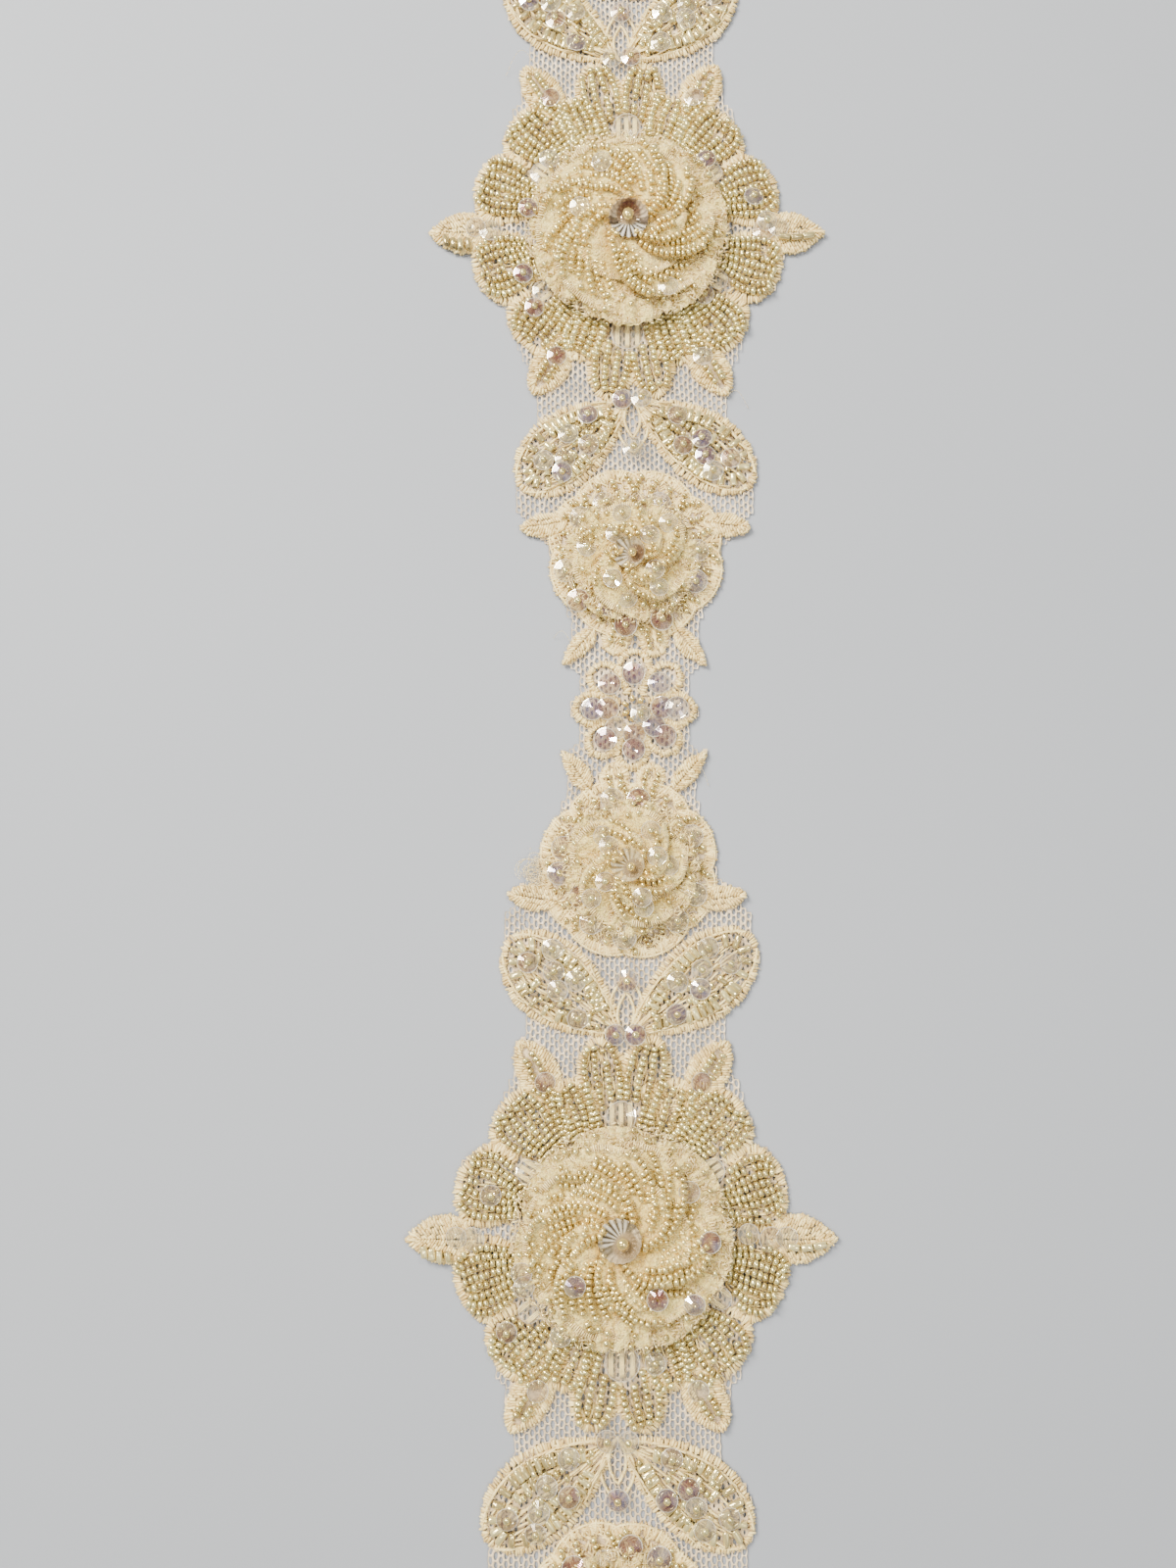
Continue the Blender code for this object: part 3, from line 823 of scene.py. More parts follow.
def seeds(work, heap, spots, ways, warm=0.0, size=SEED_WIDE):
    """Seed beads threaded along their directions. Flat places are at the height of the lace's beads."""
    n = len(spots)
    if not n:
        return
    along = at_height(ways, 0.0) + work.jitter(n, 0.22)
    centre = at_height(spots, BEAD_Z) if spots.shape[1] == 2 else spots
    centre = centre + work.jitter(n, 0.09)
    wide = size * work.rng.uniform(0.9, 1.08, (n, 1))
    heap.add(centre, along, UP + work.jitter(n, 0.5), wide, work.tones(n), warm)


def tubes(work, spots, ways, length=2.3, z=BEAD_Z - 0.15):
    """Tube beads at places, each lying along its direction."""
    n = len(spots)
    if not n:
        return
    rng = work.rng
    along = at_height(ways, rng.uniform(-0.1, 0.1, n)) + work.jitter(n, 0.1)
    long, wide = length * rng.uniform(0.88, 1.1, n), TUBE_WIDE * rng.uniform(0.92, 1.08, n)
    size = np.column_stack([long, wide, np.full(n, TUBE_WIDE)])
    centre = at_height(spots, z) + work.jitter(n, 0.08)
    work.tubes.add(centre, along, UP + work.jitter(n, 0.4), size, work.tones(n))


def film(work, spots, width, z=FILM_Z, tilt=0.16, heap=None, bead=True, tones=(0.0, 1.0)):
    """Film sequins, each held by a bead in its middle. z is for flat places alone."""
    spots = np.atleast_2d(spots)
    n = len(spots)
    up = np.asarray(UP) + work.jitter(n, tilt)
    up /= np.linalg.norm(up, axis=1)[:, None]
    turn = work.rng.uniform(0, 2 * math.pi, n)
    along = at_height(facing(turn), 0.0)
    along -= up * np.sum(along * up, axis=1)[:, None]
    centre = at_height(spots, z) if spots.shape[1] == 2 else spots
    (heap or work.sequins).add(centre, along, up, width, work.tones(n, *tones))
    if bead:
        beads = work.rose_seeds if heap is work.rose_sequins else work.seeds
        beads.add(centre + up * 0.45, up, along, FILM_BEAD, work.tones(n, 0.4))


def clear_of(centre, reach):
    """A test for places that lie further than reach from a centre."""
    return lambda places: np.linalg.norm(places[:, :2] - centre, axis=1) > reach


def everywhere(places):
    """A test that every place passes."""
    return np.ones(len(places), bool)


BIG_REACH = 18.2  # how near a rose's middle the flat beads go
SMALL_REACH = 11.6
SMALL_BEAD = 1.15


def nearest_rose(motif, roses):
    """The middle of the rose, one of these, that is nearest a motif's root."""
    here = on_motif(motif, 0.0, 0.0)
    return min((rose_spot(n) for n in roses), key=lambda spot: np.linalg.norm(spot - here))


# An opening in the net beside a big rose: its place about the flower's middle, its size and its bars of thread.
Slit = namedtuple("Slit", "angle at across along bars")
SLITS = [
    Slit(90, 20.4, 5.4, 5.6, 3), Slit(-90, 21.8, 6.4, 6.4, 3), Slit(34, 19.6, 4.4, 4.4, 3),
    Slit(147, 19.6, 4.4, 4.8, 3), Slit(-32, 20.4, 4.0, 4.2, 2), Slit(219, 21.0, 4.0, 3.6, 2),
]
SLIT_MARGIN = 0.5


def slit_frame(centre, slit):
    """A slit's middle, and the directions out from the flower and across."""
    out, side = heading(slit.angle)
    return on_band(0.0, centre) + out * slit.at, out, side


def off_slits(places):
    """Which places lie off every slit and its margin."""
    clear = everywhere(places)
    for centre in FLOWERS:
        for slit in SLITS:
            middle, out, side = slit_frame(centre, slit)
            away = places[:, :2] - middle
            across = away @ side / (slit.across / 2 + SLIT_MARGIN)
            along = away @ out / (slit.along / 2 + SLIT_MARGIN)
            clear &= across * across + along * along > 1
    return clear


def sew_petal(work, motif):
    """A flat flower petal or fan: a satin rim, rows of seed beads and a few running threads between them."""
    fan = motif.kind == "fan"
    beyond = clear_of(nearest_rose(motif, range(BIG_ROSES)), BIG_REACH)

    def clear(places):
        return beyond(places) & off_slits(places)

    satin_rim(work, motif, width=1.6, t_from=0.3, over=0.7, clear=clear)
    threads(work, motif, 36 if fan else 70, length=2.4, t_span=(0.3, 0.82), clear=clear)
    bead_rows(work, motif, (0.1, 0.93), clear, v_reach=0.76 if fan else 0.81)


def sew_side_leaf(work, motif):
    """A satin leaf beside the flower, with tube beads across its lower edge and film sequins at its root."""
    lower = -motif.hand * (1 if motif.root_x > 0 else -1)
    satin_fill(work, motif, slant=0.16)
    satin_rim(work, motif, width=1.5, t_from=0.08, over=0.6)
    if motif.root_x > 0:
        spots, ways = walk(on_motif(motif, np.linspace(0.3, 0.78, 20), 0.3 * lower), 2.3)
        tubes(work, spots, ways, length=2.2, z=THREAD_Z + 0.75)
    else:
        spots, ways = walk(on_motif(motif, np.linspace(0.36, 0.84, 20), 0.68 * lower), 1.45)
        tubes(work, spots, np.broadcast_to([0.15, -1.0], ways.shape), length=2.0, z=THREAD_Z + 0.75)
    film(work, on_motif(motif, 0.08, 0.1), 4.4, FILM_Z - 0.3, bead=False)
    film(work, on_motif(motif, 0.3, -0.15 * lower), 3.9, bead=False)


def sew_leaf(work, motif):
    """An upright leaf: a thick satin rim round a few beads."""
    satin_fill(work, motif, slant=0.1, v_from=0.3)
    satin_rim(work, motif, width=1.6, t_from=0.03, over=0.45)
    bead_rows(work, motif, (0.45, 0.8), everywhere, v_reach=0.3, gap=1.3)
    film(work, on_motif(motif, 0.34, 0.1), 3.8, bead=False)


def wing_cords(work, motif):
    """Cords inside a wing: one along each edge, and three that fan out from its root."""
    for side in (-1, 1):
        cord(work, on_motif(motif, np.linspace(0.06, 0.97, 60), 0.80 * side))
    t = np.linspace(0.05, 0.86, 50)
    for v in (-0.42, 0.0, 0.38):
        cord(work, on_motif(motif, t, v * np.sin(math.pi * t * 0.8) + 0.06), thick=0.45)


def wing_tubes(work, motif):
    """Tube beads that point in from a wing's edge: a full ring of them, and a thin one inside it."""
    loop = outline(motif)
    full, thin = (2.5, 1.5, 2.3, 0.14, 0.97), (5.0, 1.8, 2.1, 0.34, 0.45)
    for inset, pitch, length, t_from, chance in (full, thin):
        places, way = walk(loop, pitch)
        inward = left_of(way)
        keep = (places[:, 2] > t_from) & (work.rng.uniform(size=len(places)) < chance)
        spots, ways = spaced(places[keep, :2] + inward[keep] * inset, inward[keep], 1.2)
        tubes(work, spots, ways, length)


def wing_seeds(work, motif):
    """Seed beads in broken rows near a wing's root."""
    t = np.linspace(0.12, 0.68, 60)
    spots, ways = stacked(walk(on_motif(motif, t, v), 1.15) for v in (-0.5, -0.22, 0.06, 0.3, 0.55))
    keep = work.rng.uniform(size=len(spots)) < 0.5
    spots, ways = spaced(spots[keep], ways[keep], 1.1)
    seeds(work, work.seeds, spots, ways)


def sew_wing(work, motif):
    """A wing: a satin rim, cords, tube beads and seed beads between them, and clear sequins."""
    rng = work.rng
    satin_rim(work, motif, width=1.3, t_from=0.03, over=0.6)
    wing_cords(work, motif)
    wing_tubes(work, motif)
    wing_seeds(work, motif)
    for t, v in ((0.60, 0.18), (0.50, -0.12), (0.28, -0.45), (0.78, -0.1), (0.70, 0.55), (0.42, 0.42)):
        spot = on_motif(motif, t + rng.uniform(-0.03, 0.03), v + rng.uniform(-0.1, 0.1))
        film(work, spot, 3.9, FILM_Z + rng.uniform(0, 0.3))
    for z in (BEAD_Z, GROUND_Z):
        threads(work, motif, 60, length=2.6, t_span=(0.05, 0.8), z=z)


def sew_small_leaf(work, motif):
    """A leaflet or a thorn: slanting satin stitch from edge to edge."""
    satin_fill(work, motif, slant=0.12)
    satin_rim(work, motif, width=0.9, t_from=0.05)


def sew_scallop(work, motif):
    """A scallop beside the daisy: a satin rim round loose stitches and small beads."""
    satin_rim(work, motif, width=1.5, t_from=0.2)
    threads(work, motif, 70, length=1.5, t_span=(0.05, 0.85), stray=0.3)
    bead_rows(work, motif, (0.2, 0.75), everywhere, v_reach=0.45, gap=1.8, size=SMALL_BEAD)


def sew_rose_ground(work, motif):
    """One lobe of a small rose's ground: thickly stitched, with scattered beads near the rose."""
    middle = nearest_rose(motif, range(BIG_ROSES, len(SEWN_OFF)))
    satin_rim(work, motif, width=2.1, t_from=0.55, over=0.8, clear=clear_of(middle, 13.0))
    threads(work, motif, 110, length=1.5, t_span=(0.46, 0.95), clear=clear_of(middle, 9.6), stray=0.35)
    rim = outline(motif)
    cord(work, rim[(rim[:, 2] > 0.6) & clear_of(middle, 13.4)(rim)], thick=0.36, z=THREAD_Z - 0.1)
    bead_rows(work, motif, (0.5, 0.86), clear_of(middle, SMALL_REACH), gap=2.9, size=SMALL_BEAD)


def sew_daisy_petal(work, motif):
    """A daisy petal: a corded rim over bare net, and pearly sequins laid on each other."""
    satin_rim(work, motif, width=1.3, t_from=0.1, over=0.6)
    satin_rim(work, motif, width=1.1, t_from=0.25, over=0.2, z=THREAD_Z + 0.2)
    lone = 30 < motif.turn < 150  # the three far petals have one sequin each, the others two
    places = on_motif(motif, [0.5] if lone else [0.62, 0.34], [0.05])
    film(work, places, 4.3, bead=False, tones=(0.4, 1.0))


def sew_daisy_middle(work):
    """The daisy's middle: a sequin over a small ring of gold beads."""
    middle = on_band(0.0, 0.0)
    turn = np.arange(7) * 2 * math.pi / 7
    ring = round_about(middle, 1.9, turn)
    seeds(work, work.seeds, ring, left_of(facing(turn)), warm=1.0)
    film(work, middle + [1.0, -1.2], 3.6, FILM_Z + 0.7)


SEW = {
    "petal": sew_petal,
    "fan": sew_petal,
    "side_leaf": sew_side_leaf,
    "leaf": sew_leaf,
    "wing": sew_wing,
    "leaflet": sew_small_leaf,
    "thorn": sew_small_leaf,
    "scallop": sew_scallop,
    "rose_lobe": sew_rose_ground,
    "daisy_petal": sew_daisy_petal,
}


def sew_stem(work, centre, way):
    """Between two wings: a bud of two cords over bare net, with a sequin at its tip and two at its foot."""
    s = np.linspace(0, 1, 30)
    for side in (-1, 1):
        for bulge, reach in ((2.9, 10.5), (1.5, 7.5)):
            x = side * bulge * np.sin(math.pi * s) ** 0.8
            y = centre + way * (STEM_AT + reach * s)
            cord(work, np.column_stack([x + bow(y), y]))
        film(work, on_band(side * 1.8, centre + way * STEM_FEET_AT), 3.9, FILM_Z + 0.2 * side)
    film(work, on_band(0.0, centre + way * STEM_SEQUIN_AT), 4.2)


def sew_slits(work, centre):
    """Round a big rose: satin bars over bare net, each group under an oval of clear film."""
    for slit in SLITS:
        middle, out, side = slit_frame(centre, slit)
        for bar in np.linspace(-1, 1, slit.bars):
            for strand in (-0.26, 0.0, 0.26):
                foot = middle + side * (bar * slit.across * 0.3 + strand)
                ends = foot + np.outer([-0.5, 0.5], out) * slit.along
                start, end = at_height(ends[:1], 1.15), at_height(ends[1:], 1.3)
                work.cords.lay(start, end, 0.4, 0.4, work.tones(1, 0.6))
        size = [[slit.across, slit.along, 3.0]]
        work.sequins.add(at_height(middle[None], 1.75), [*side, 0.0], UP, size, 0.1, 1.0)


# ---------------------------------------------------------------- roses
# A rose's frill lies between frill_in and reach from its middle. fuzz is its count of loose fibres, and bead
# the width of its seed beads.
Rose = namedtuple("Rose", "reach frill_in frill_z frill_rise frill_rows waves layers fuzz heart bead")
# A ring of petals: how many, from where to where they go out, how wide each is and how far it turns on its way
# (both in radians), its height at its tip, half way and at its root, how much its raised side stands over the
# other, and its rows of beads.
Layer = namedtuple("Layer", "count inner outer spread swirl low mid high lean rows")
BIG_ROSE = Rose(
    reach=19.4, frill_in=8.6, frill_z=2.6, frill_rise=1.3, frill_rows=20, waves=7,
    layers=[
        Layer(7, 5.0, 17.2, 0.56, 1.00, 4.1, 5.7, 6.2, -1.9, 7),
        Layer(5, 3.2, 11.8, 0.72, 1.05, 5.2, 6.9, 6.9, -1.6, 4),
    ],
    fuzz=1100, heart=4.6, bead=1.36,
)
SMALL_ROSE = Rose(
    reach=12.4, frill_in=2.4, frill_z=2.0, frill_rise=0.9, frill_rows=16, waves=6,
    layers=[
        Layer(5, 3.4, 11.0, 0.66, 1.10, 3.2, 4.7, 4.9, -1.5, 3),
        Layer(4, 1.8, 7.2, 0.82, 1.20, 4.2, 5.9, 5.5, -1.3, 3),
    ],
    fuzz=560, heart=2.8, bead=SMALL_BEAD,
)
PETAL_TURNS = [  # where the outer petals of each big rose point, in degrees: they were sewn by eye
    [-17, 45, 83, 130, 170, 225, 290], [-20, 35, 73, 108, 160, 213, 285],
]
ROLL = 0.7  # from this share of its half width out, a petal's raised side rolls over
FULL_ROWS = 4  # a layer with at least this many rows of beads has its first two rows whole
RIM_PITCH = 0.42  # from one stitch of a petal's rim to the next
PETAL_FIBRES = 50
RING_FILMS = 14


def on_petal(layer, start, t, v):
    """A place on a rose petal: one side stands over its neighbour and rolls, and it turns as it goes out."""
    t, v = np.broadcast_arrays(np.asarray(t, float), np.asarray(v, float))
    reach = layer.outer * (1 - 0.10 * v * v + 0.04 * np.sin(start * 7)) - layer.inner
    r = layer.inner + reach * t
    spread = layer.spread * (0.75 + 0.35 * np.sin(math.pi * (0.1 + 0.6 * t)))
    a = start + layer.swirl * (t**0.85 - 0.45) + v * spread
    rise = layer.high + (layer.mid - layer.high) * 4 * t * (1 - t) + (layer.low - layer.high) * t**2.2
    lean = layer.lean * v * (0.35 + 0.65 * t)
    roll = 0.7 * (np.clip(-v - ROLL, 0, 1) / (1 - ROLL)) ** 2
    fold = 0.22 * np.sin(9 * v + start * 3) * t**3 + 0.25 * np.sin(5 * t + 7 * v + start)
    return np.stack([r * np.cos(a), r * np.sin(a), rise + lean - roll + fold], axis=-1)


def sheet_grid(across, along, place, warm):
    """A sheet of cloth, face up, from a grid whose points are put in place by their shares across and along."""
    bm = bmesh.new()
    bmesh.ops.create_grid(bm, x_segments=across, y_segments=along, size=0.5)
    warmth = bm.verts.layers.float.new("warm")
    for v in bm.verts:
        u, w = v.co.x + 0.5, v.co.y + 0.5
        v[warmth] = warm(u, w)
        v.co = Vector(place(u, w))
    bmesh.ops.scale(bm, vec=(MM, MM, MM), verts=bm.verts)
    bmesh.ops.remove_doubles(bm, verts=bm.verts, dist=1e-6)
    bmesh.ops.reverse_faces(bm, faces=bm.faces)
    return bm


def cloth_piece(name, parts):
    """One piece of several sheets."""
    points, faces, warms = [], [], []
    for bm in parts:
        bm.verts.index_update()
        base = len(points)
        points += [tuple(v.co) for v in bm.verts]
        faces += [[base + v.index for v in f.verts] for f in bm.faces]
        warmth = bm.verts.layers.float["warm"]
        warms += [v[warmth] for v in bm.verts]
        bm.free()
    mesh = bpy.data.meshes.new(name)
    mesh.from_pydata(points, [], faces)
    return piece(name, mesh, "gauze", {"warm": warms})


def frill(name, rose, spot, phase, node):
    """The gathered ring that lies on the lace: crimped cloth, fuller and higher towards its edge."""

    def place(u, w):
        a = 2 * math.pi * u + phase
        lobe = 0.90 + 0.10 * abs(math.sin(rose.waves * (a - phase) / 2)) ** 0.5
        lobe += 0.05 * noise.noise((1.3 * math.cos(a), 1.3 * math.sin(a), phase * 5))
        r = rose.frill_in + (rose.reach * lobe - rose.frill_in) * w
        x, y = r * math.cos(a), r * math.sin(a)
        crimp = 0.32 * math.sin(a * rose.waves * 9 + 3 * w) + 0.4 * math.sin(a * rose.waves * 4 + 2 * w)
        crumple = 1.3 * noise.noise((x * 0.4, y * 0.4, phase)) + 0.7 * noise.noise((x * 1.3, y * 1.3, phase))
        rise = rose.frill_rise * math.sin(math.pi * (0.15 + 0.6 * w))
        return spot[0] + x, spot[1] + y, rose.frill_z + rise + (crimp + crumple) * (0.25 + w * 0.75)

    # The warm mark paints golden shade at the frill's inner edge, under the petals.
    sheet = sheet_grid(rose.waves * 40, rose.frill_rows, place, lambda u, w: 0.6 - 0.7 * w)
    made = cloth_piece(name, [sheet])
    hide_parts(node)


def petal_sheet(layer, start, base):
    """One crumpled petal of a rose, with painted golden shade at its root and on its lower side, under the next
    petal's raised edge.
    """

    def place(u, w):
        p = on_petal(layer, start, w, 2 * u - 1) + base
        crumple = 0.5 * noise.noise((p[0] * 0.7, p[1] * 0.7, start))
        crumple += 0.25 * noise.noise((p[0] * 2.1, p[1] * 2.1, 4.0))
        return p + [0, 0, crumple]

    # Painted shade: golden towards the root and the lower side.
    def warm(u, w):
        return min(0.9 * max(0.0, 2 * u - 1.1) + 0.7 * (1 - w) ** 2, 1.0)

    return sheet_grid(24, 22, place, warm)


def heart_sheet(rose, base):
    """The puckered cup of cloth in a rose's middle."""

    def place(u, w):
        a, r = 2 * math.pi * u, rose.heart * (0.12 + 0.88 * w)
        pucker = 0.35 * math.sin(a * 13 + 4 * w) * w
        z = rose.layers[1].high - 0.9 + 0.9 * w + pucker
        return base + np.array([r * math.cos(a), r * math.sin(a), z])

    # Painted golden shade all over the heart, which lies deep in the rose.
    return sheet_grid(104, 8, place, lambda u, w: 0.95)


def whorl(work, name, rose, spot, phase, node, turns):
    """Overlapping petals round the heart: crumpled cloth under rows of beads."""
    parts, base = [], np.array([spot[0], spot[1], 0.0])
    for depth, layer in enumerate(rose.layers):
        starts = phase + 2 * math.pi * (np.arange(layer.count) + 0.4 * depth) / layer.count
        starts += work.rng.uniform(-0.08, 0.08, layer.count)
        if turns and depth == 0:
            starts = np.radians(turns)
        for start in starts:
            parts.append(petal_sheet(layer, start, base))
            for sew in (bead_petal, film_petal, rim_petal, fuzz_petal):
                sew(work, rose, layer, start, base)
    parts.append(heart_sheet(rose, base))
    made = cloth_piece(name, parts)
    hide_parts(node)
    area = sum(p.area for p in made.data.polygons)
    strip = rose.layers[0].outer * MM
    round(area / strip, 3)


def bead_petal(work, rose, layer, start, base):
    """Rows of beads along a rose petal, close at its raised side and thinner on its face."""
    rng, rows = work.rng, []
    for row, v in enumerate([-0.88, -0.64, *np.linspace(-0.3, 0.8, layer.rows - 2)]):
        near, far = (0.04, 0.97) if row < 2 else (rng.uniform(0.05, 0.3), rng.uniform(0.65, 0.97))
        if layer.rows < FULL_ROWS:
            near, far = rng.uniform(0.0, 0.3), rng.uniform(0.45, 0.95)
        path = on_petal(layer, start, np.linspace(near, far, 60), v) + base
        places, way = walk(path, SEED_PITCH, rng.uniform(0.1, 0.9))
        keep = rng.uniform(size=len(places)) < 0.95
        rows.append((places[keep], way[keep]))
    spots, ways = spaced(*stacked(rows), 0.96)
    warm = np.clip(1.2 - flat_distance(spots, base) / rose.reach * 1.05, 0, 1)
    seeds(work, work.rose_seeds, spots + [0, 0, 0.5], ways, warm=warm, size=rose.bead)


def film_petal(work, rose, layer, start, base):
    """A small clear sequin on the face of a small rose's petal."""
    if rose is not SMALL_ROSE:
        return
    rng = work.rng
    spot = on_petal(layer, start, rng.uniform(0.5, 0.75), rng.uniform(-0.2, 0.5)) + base + [0, 0, 0.7]
    film(work, spot, 3.6, heap=work.rose_sequins, tones=(0.0, 0.45))


def rim_petal(work, rose, layer, start, base):
    """Short stitches over the rim of a rose petal, up one side, round its tip and back."""
    rng = work.rng
    t = np.concatenate([np.linspace(0.3, 1, 40), np.ones(40), np.linspace(1, 0.3, 40)])
    v = np.concatenate([-np.ones(40), np.linspace(-1, 1, 40), np.ones(40)])
    places, way = walk(on_petal(layer, start, t, v) + base, RIM_PITCH)
    n = len(places)
    inward = left_of(way)
    a = places + at_height(-inward * rng.uniform(0.0, 0.35, (n, 1)), 0.08)
    b = places + at_height(inward * rng.uniform(0.8, 1.5, (n, 1)), 0.28)
    work.rose_threads.lay(a, b, 0.38, 0.34, work.tones(n), thread_warmth(rose, places, base))


def fuzz_petal(work, rose, layer, start, base):
    """Loose fibres on the face of a rose petal."""
    rng, n = work.rng, PETAL_FIBRES
    t, v = rng.uniform(0.1, 1.0, n), rng.uniform(-1, 1, n)
    a = on_petal(layer, start, t, v) + base + [0, 0, 0.16]
    t = np.clip(t + rng.uniform(-0.12, 0.12, n), 0, 1.02)
    b = on_petal(layer, start, t, v + rng.uniform(-0.3, 0.3, n)) + base + [0, 0, 0.3]
    work.fuzz.lay(a, b, 0.16, 0.16, work.tones(n, 0.3), thread_warmth(rose, a, base))


def flat_distance(places, base):
    """How far places lie from a rose's middle, seen from above."""
    return np.linalg.norm(places[:, :2] - base[:2], axis=1)


def thread_warmth(rose, places, base):
    """How golden a rose's threads are at places: most so at its heart."""
    return np.clip(0.8 - flat_distance(places, base) / rose.reach, 0, 1)


def fuzz_ring(work, rose, spot):
    """Loose fibres and small knots that stand off the frill."""
    rng, count = work.rng, rose.fuzz
    for heap, long, thick in ((work.fuzz, 1.7, 0.15), (work.rose_threads, 1.0, 0.38)):
        a = rng.uniform(0, 2 * math.pi, count)
        share = np.sqrt(rng.uniform(0.42, 1.02, count))
        z = rose.frill_z + rose.frill_rise * (1.4 - 0.5 * share) + rng.uniform(-0.4, 0.5, count)
        centre = at_height(round_about(spot, rose.reach * share, a), z)
        turn = a + rng.normal(0, 1.2, count)
        along = at_height(facing(turn), rng.uniform(-0.4, 0.4, count))
        length = long * rng.uniform(0.6, 1.4, count)
        size = np.column_stack([length, np.full(count, thick), np.full(count, thick)])
        # Fibres near the frill's inner edge get the same painted golden shade as the frill there.
        heap.add(centre, along, UP, size, work.tones(count), np.clip(0.6 - 0.7 * share, 0, 1))


def frill_beads(work, rose, spot):
    """Beads scattered thinly on the frill, one for every sixteen fibres before they are spaced."""
    rng, count = work.rng, rose.fuzz // 16
    a = rng.uniform(0, 2 * math.pi, count)
    places = round_about(spot, rose.reach * rng.uniform(0.74, 0.97, count), a)
    spots = at_height(places, rose.frill_z + rose.frill_rise + rng.uniform(0.6, 0.9, count))
    spots, ways = spaced(spots, facing(a + 0.7), 1.6)
    seeds(work, work.rose_seeds, spots, ways, size=1.2)


def ring_films(work, spot, phase):
    """A ring of small sequins round a small rose, every third one closer in."""
    rng, ring = work.rng, np.arange(RING_FILMS)
    a = phase + 2 * math.pi * (ring + rng.uniform(-0.2, 0.2, RING_FILMS)) / RING_FILMS
    far = np.where(ring % 3, 12.4, 10.0) + rng.uniform(-0.6, 0.6, RING_FILMS)
    film(work, round_about(spot, far, a), 4.4, FILM_Z + 0.6, tilt=0.2)


# Where each cup gets its painted light, in degrees, how dark the maroon painted shade in its middle is, and how
# much gold cloth shows through it.
Lit = namedtuple("Lit", "side wine gold")
LIT = [
    Lit(135, 0.1, 0.2), Lit(-90, 1.0, 0.0),
    Lit(200, 0.2, 0.8), Lit(150, 0.0, 0.9), Lit(180, 0.7, 0.5), Lit(250, 0.3, 0.8),
]
CUP_LEAN = 0.4  # how far a cup's mouth is set over to +X, for its height


def cup_sequins(names, flutes, lits, swell):
    """Fluted cup sequins of clear film, all in one piece."""
    heap = Heap(fluted_cup(flutes))
    for name, lit in zip(names, lits):
        low, high = (np.array(c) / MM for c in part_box(name))
        middle = (low + high) / 2
        wide = max(high[0] - low[0], high[1] - low[1]) * swell
        # The cup's +X side, where the paint lays its painted light, turns towards lit.side.
        toward = np.append(heading(lit.side)[0], 0.0)
        lean = np.array(UP) + toward * 0.1
        lean /= np.linalg.norm(lean)
        foot = [middle[0], middle[1], low[2] + 0.45]
        heap.add(foot, toward - lean * (toward @ lean), lean, wide, lit.wine, lit.gold)
    made = heap.joined(f"cup_sequins_of_{flutes}_flutes", "cup_film", "sequin", smooth=False)
    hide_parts(*names)


def fluted_cup(flutes):
    """A cup sequin, one unit across: a section spun round Z, with its wall pressed in flutes and leaning."""
    section = [(0.06, 0, 0.0), (0.2, 0, 0.0), (0.3, 0, 0.045), (0.42, 0, 0.13), (0.5, 0, 0.23)]
    section += [(x * 0.975, y, z + 0.012) for x, y, z in reversed(section[1:])]
    bm = spun(section, flutes * 4, closed=True, axis=UP)
    for v in bm.verts:
        r = math.hypot(v.co.x, v.co.y)
        if r > 0.25:
            a = math.atan2(v.co.y, v.co.x)
            v.co.z += 0.022 * math.cos(flutes * a)
            v.co.xy = v.co.xy * (1 + 0.03 * math.cos(flutes * a))
            v.co.x += CUP_LEAN * v.co.z
    # side is 1 where cup_paint lays painted light and -1 where it lays painted shade; flute is 0 in the
    # grooves, which it darkens with painted shade.
    return shape_of(
        bm, rim=lambda x, y, z: min(math.hypot(x, y) * 2, 1.0),
        flute=lambda x, y, z: 0.5 + 0.5 * math.cos(flutes * math.atan2(y, x)),
        side=lambda x, y, z: math.cos(math.atan2(y, x - CUP_LEAN * z)),
    )


def heart_beads(names):
    """The beads that hold the cup sequins, hole up."""
    heap = Heap(seed_shape())
    for name in names:
        low, high = (np.array(c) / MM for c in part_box(name))
        heap.add((low + high) / 2, (0.05, -0.08, 1.0), (1, 0, 0), high[0] - low[0], 0.5, 0.9)
    made = heap.joined("heart_beads", "seed", "bead")
    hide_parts(*names)


def loose_tuft(work):
    """A tuft of thread that has worked out of a small rose."""
    rng = work.rng
    tuft = rose_spot(3) + np.array([-17.2, -0.5])
    s = np.linspace(0, 1, 8)
    for _ in range(80):
        centre = tuft + rng.normal(0, 1.0, 2) * [0.9, 1.3]
        turn, curl, r = rng.uniform(0, 6.28), rng.uniform(-1.6, 1.6), rng.uniform(0.8, 2.2)
        path = centre + r * facing(turn + curl * 2 * s)
        points = at_height(path, 0.5 + 1.3 * rng.uniform() + 0.4 * np.sin(3 * s))
        work.fuzz.lay(points[:-1], points[1:], 0.13, 0.13, work.tones(7, 0.6))


Hair = namedtuple("Hair", "y side long")
HAIRS = [
    Hair(58, 1, 7), Hair(-52, 1, 9), Hair(-140, -1, 6), Hair(10, -1, 6), Hair(128, -1, 8), Hair(-12, 1, 5),
]


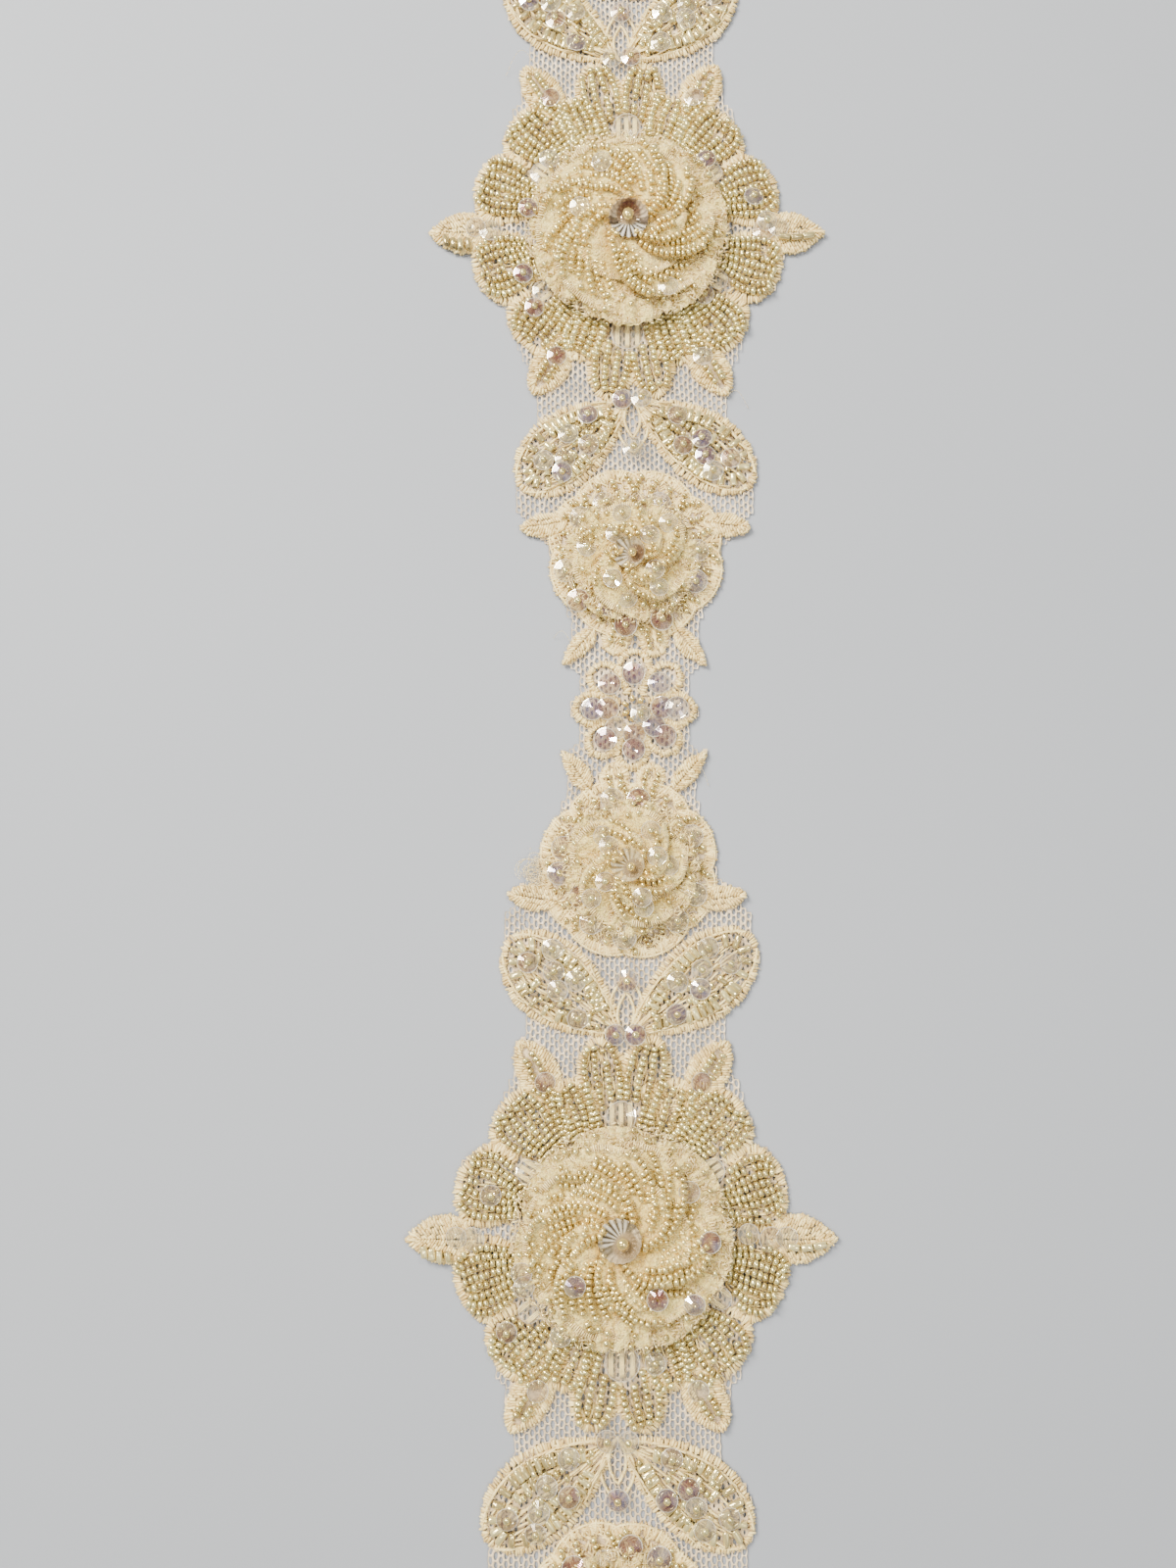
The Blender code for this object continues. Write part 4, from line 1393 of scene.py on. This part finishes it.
def edge_hairs(work):
    """A few loose hairs at the band's edge."""
    rng = work.rng
    s = np.linspace(0, 1, 14)
    for hair in HAIRS:
        along = min(abs(hair.y - flower) for flower in FLOWERS)
        root = hair.side * (float(np.interp(along, *zip(*NET_EDGE))) - 1) + bow(hair.y)
        turn = rng.uniform(-0.6, 0.6)
        x = root + hair.side * hair.long * (s * 0.8) * math.cos(turn)
        y = hair.y + hair.long * (np.sin(3 * s) * 0.45 + s * math.sin(turn))
        points = at_height(np.column_stack([x, y]), 0.3 + 1.8 * np.sin(math.pi * s) ** 1.2)
        work.fuzz.lay(points[:-1], points[1:], 0.1, 0.1, work.tones(13, 0.5))


LOOSE_FILMS = [  # x and y about each big flower's middle
    [
        (-23.2, 6.8), (-17.5, -5.7), (-10.7, -16.7), (-20.2, -16.5), (22.4, 0.2), (11.7, 8.3), (-8.2, -7.3),
        (15.3, -0.3), (-17.1, -8.0), (12.5, -10.8), (6.0, -9.5), (5.8, -21.7),
    ],
    [
        (-15.0, 11.8), (-5.0, 9.7), (-19.0, 1.9), (-9.1, 0.4), (15.3, 12.9), (27.0, 0.8), (14.7, -14.2),
        (-17.8, -16.7), (24.5, 5.8), (7.6, -14.2), (-20.0, -9.9),
    ],
]
# How high a loose film lies at a distance from a big flower's middle, and from where on a bead holds it.
FILM_TOP = [(5, 7.9), (10, 7.2), (16, 5.4), (19, 4.8), (20.5, 2.1)]
FILM_BEADED = 19


def loose_films(work):
    """The small sequins that are scattered over the big flowers, higher where the rose is below them."""
    for centre, films in zip(FLOWERS, LOOSE_FILMS):
        for x, y in films:
            far = math.hypot(x, y)
            spot = [[bow(centre) + x, centre + y, float(np.interp(far, *zip(*FILM_TOP)))]]
            film(work, spot, 3.8, heap=work.rose_sequins, bead=far > FILM_BEADED)


# ---------------------------------------------------------------- the whole trim
def sew_band(work):
    """All that is sewn flat on the net."""
    for motif in MOTIFS:
        SEW[motif.kind](work, motif)
    for centre in FLOWERS:
        for way in (-1, 1):
            sew_stem(work, centre, way)
        sew_slits(work, centre)
    sew_daisy_middle(work)


def make_rose(work, n, name):
    """Rose n, big roses first: its frill, its petals and all that is sewn on them."""
    big = n < BIG_ROSES
    rose, spot = (BIG_ROSE if big else SMALL_ROSE), rose_spot(n)
    phase = 0.3 * (n + 1) if big else 0.5 * (n - 1)
    frill(f"{name}_ruffle", rose, spot, phase, f"{name}_frill")
    whorl(work, f"{name}_petals", rose, spot, phase, f"{name}_whorl", PETAL_TURNS[n] if big else None)
    fuzz_ring(work, rose, spot)
    frill_beads(work, rose, spot)
    if not big:
        ring_films(work, spot, phase)


def join_sewing(work):
    """Each heap as one piece. Gives back the stitches that lie on the net."""
    flat = {"edge_stitches": work.edges, "fill_stitches": work.fills, "corded_lines": work.cords}
    sewn = [heap.joined(name, "silk", "lace_cloth") for name, heap in flat.items()]
    work.rose_threads.joined("rose_stitches", "silk", "rose_cloth")
    work.fuzz.joined("loose_fibres", "fuzz", "rose_cloth")
    work.seeds.joined("lace_seed_beads", "seed", "bead")
    work.rose_seeds.joined("rose_seed_beads", "seed", "bead")
    work.tubes.joined("tube_beads", "tube", "bead")
    sequins = work.sequins.joined("lace_sequins", "film", "sequin", smooth=False)
    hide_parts(*[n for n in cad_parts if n.startswith(("stem_sequin", "daisy_"))])
    work.rose_sequins.joined("rose_sequins", "film", "sequin", smooth=False)
    return sewn


def trim():
    """The whole trim: net, sewing, roses, sequins and loose hairs."""
    work = Work()
    net = lace_net()
    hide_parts("lace_band")
    sew_band(work)
    big = [f"big_rose_{n}" for n in (1, 2)]
    small = [f"small_rose_{n}" for n in (1, 2, 3, 4)]
    for n, name in enumerate(big + small):
        make_rose(work, n, name)
    loose_films(work)
    loose_tuft(work)
    edge_hairs(work)
    cup_sequins([f"{name}_cup" for name in big], flutes=20, lits=LIT[:BIG_ROSES], swell=1.0)
    cup_sequins([f"{name}_cup" for name in small], flutes=16, lits=LIT[BIG_ROSES:], swell=1.2)
    heart_beads([f"{name}_bead" for name in big + small])
    sewn = join_sewing(work)


# ---------------------------------------------------------------- table, lamps and camera, in metres
TABLE_HALF = 12.0


def table_top():
    """The pale floor under the trim, wide enough to fill a low view."""
    bm = bmesh.new()
    bmesh.ops.create_grid(bm, x_segments=1, y_segments=1, size=TABLE_HALF)
    mesh = bpy.data.meshes.new("table_top")
    bm.to_mesh(mesh)
    bm.free()
    mesh.materials.append(table_paint())
    added("table_top", mesh)


def aimed(name, data, at, back):
    """A lamp or a camera at a place. It looks away from the direction back."""
    made = added(name, data)
    made.location = at
    made.rotation_mode = "QUATERNION"
    made.rotation_quaternion = (-back).to_track_quat("-Z", "Y")
    return made


def lamp(name, at, size, watts, colour=(1, 1, 1)):
    """A square lamp that shines at the trim's middle."""
    light = bpy.data.lights.new(name, "AREA")
    light.size, light.energy, light.color = size, watts, colour
    aimed(name, light, at, Vector(at))


SKY_LIGHT = 0.26
SPARKS = [(-0.20, 0.20), (0.18, -0.12), (-0.24, -0.16), (0.10, 0.26)]


def studio():
    """A soft pale sky, a warm key lamp, a cool fill lamp, and small lamps that glint in the beads and films."""
    world = bpy.data.worlds.new("studio")
    world.use_nodes = True
    sky = world.node_tree.nodes["Background"].inputs
    sky["Color"].default_value, sky["Strength"].default_value = rgb(0.95, 0.97, 1.0), SKY_LIGHT
    bpy.context.scene.world = world
    lamp("key", (-0.46, 0.40, 0.60), size=0.32, watts=18.6, colour=(1.0, 0.97, 0.92))
    lamp("fill", (0.6, -0.4, 0.8), size=0.8, watts=2.4, colour=(0.97, 0.98, 1.0))
    for n, (x, y) in enumerate(SPARKS, 1):
        lamp(f"spark_{n}", (x, y, 0.45), size=0.02, watts=1.1)


CAMERA_AIM = (-0.00675, -0.0140, 0.0)
CAMERA_FAR = 0.2183
CAMERA_TILT = 5.87  # degrees off straight down, from the nearer end
CAMERA_LENS = 27.05  # this and the sensor's width in millimetres
CAMERA_SENSOR = 36.0


def camera():
    """The camera, almost straight above the trim."""
    a = math.radians(CAMERA_TILT)
    data = bpy.data.cameras.new("camera")
    data.lens, data.sensor_width = CAMERA_LENS, CAMERA_SENSOR
    data.clip_start, data.clip_end = 0.01, 20.0
    back = Vector((0, -math.sin(a), math.cos(a)))
    bpy.context.scene.camera = aimed("camera", data, Vector(CAMERA_AIM) + back * CAMERA_FAR, back)


trim()
table_top()
studio()
camera()
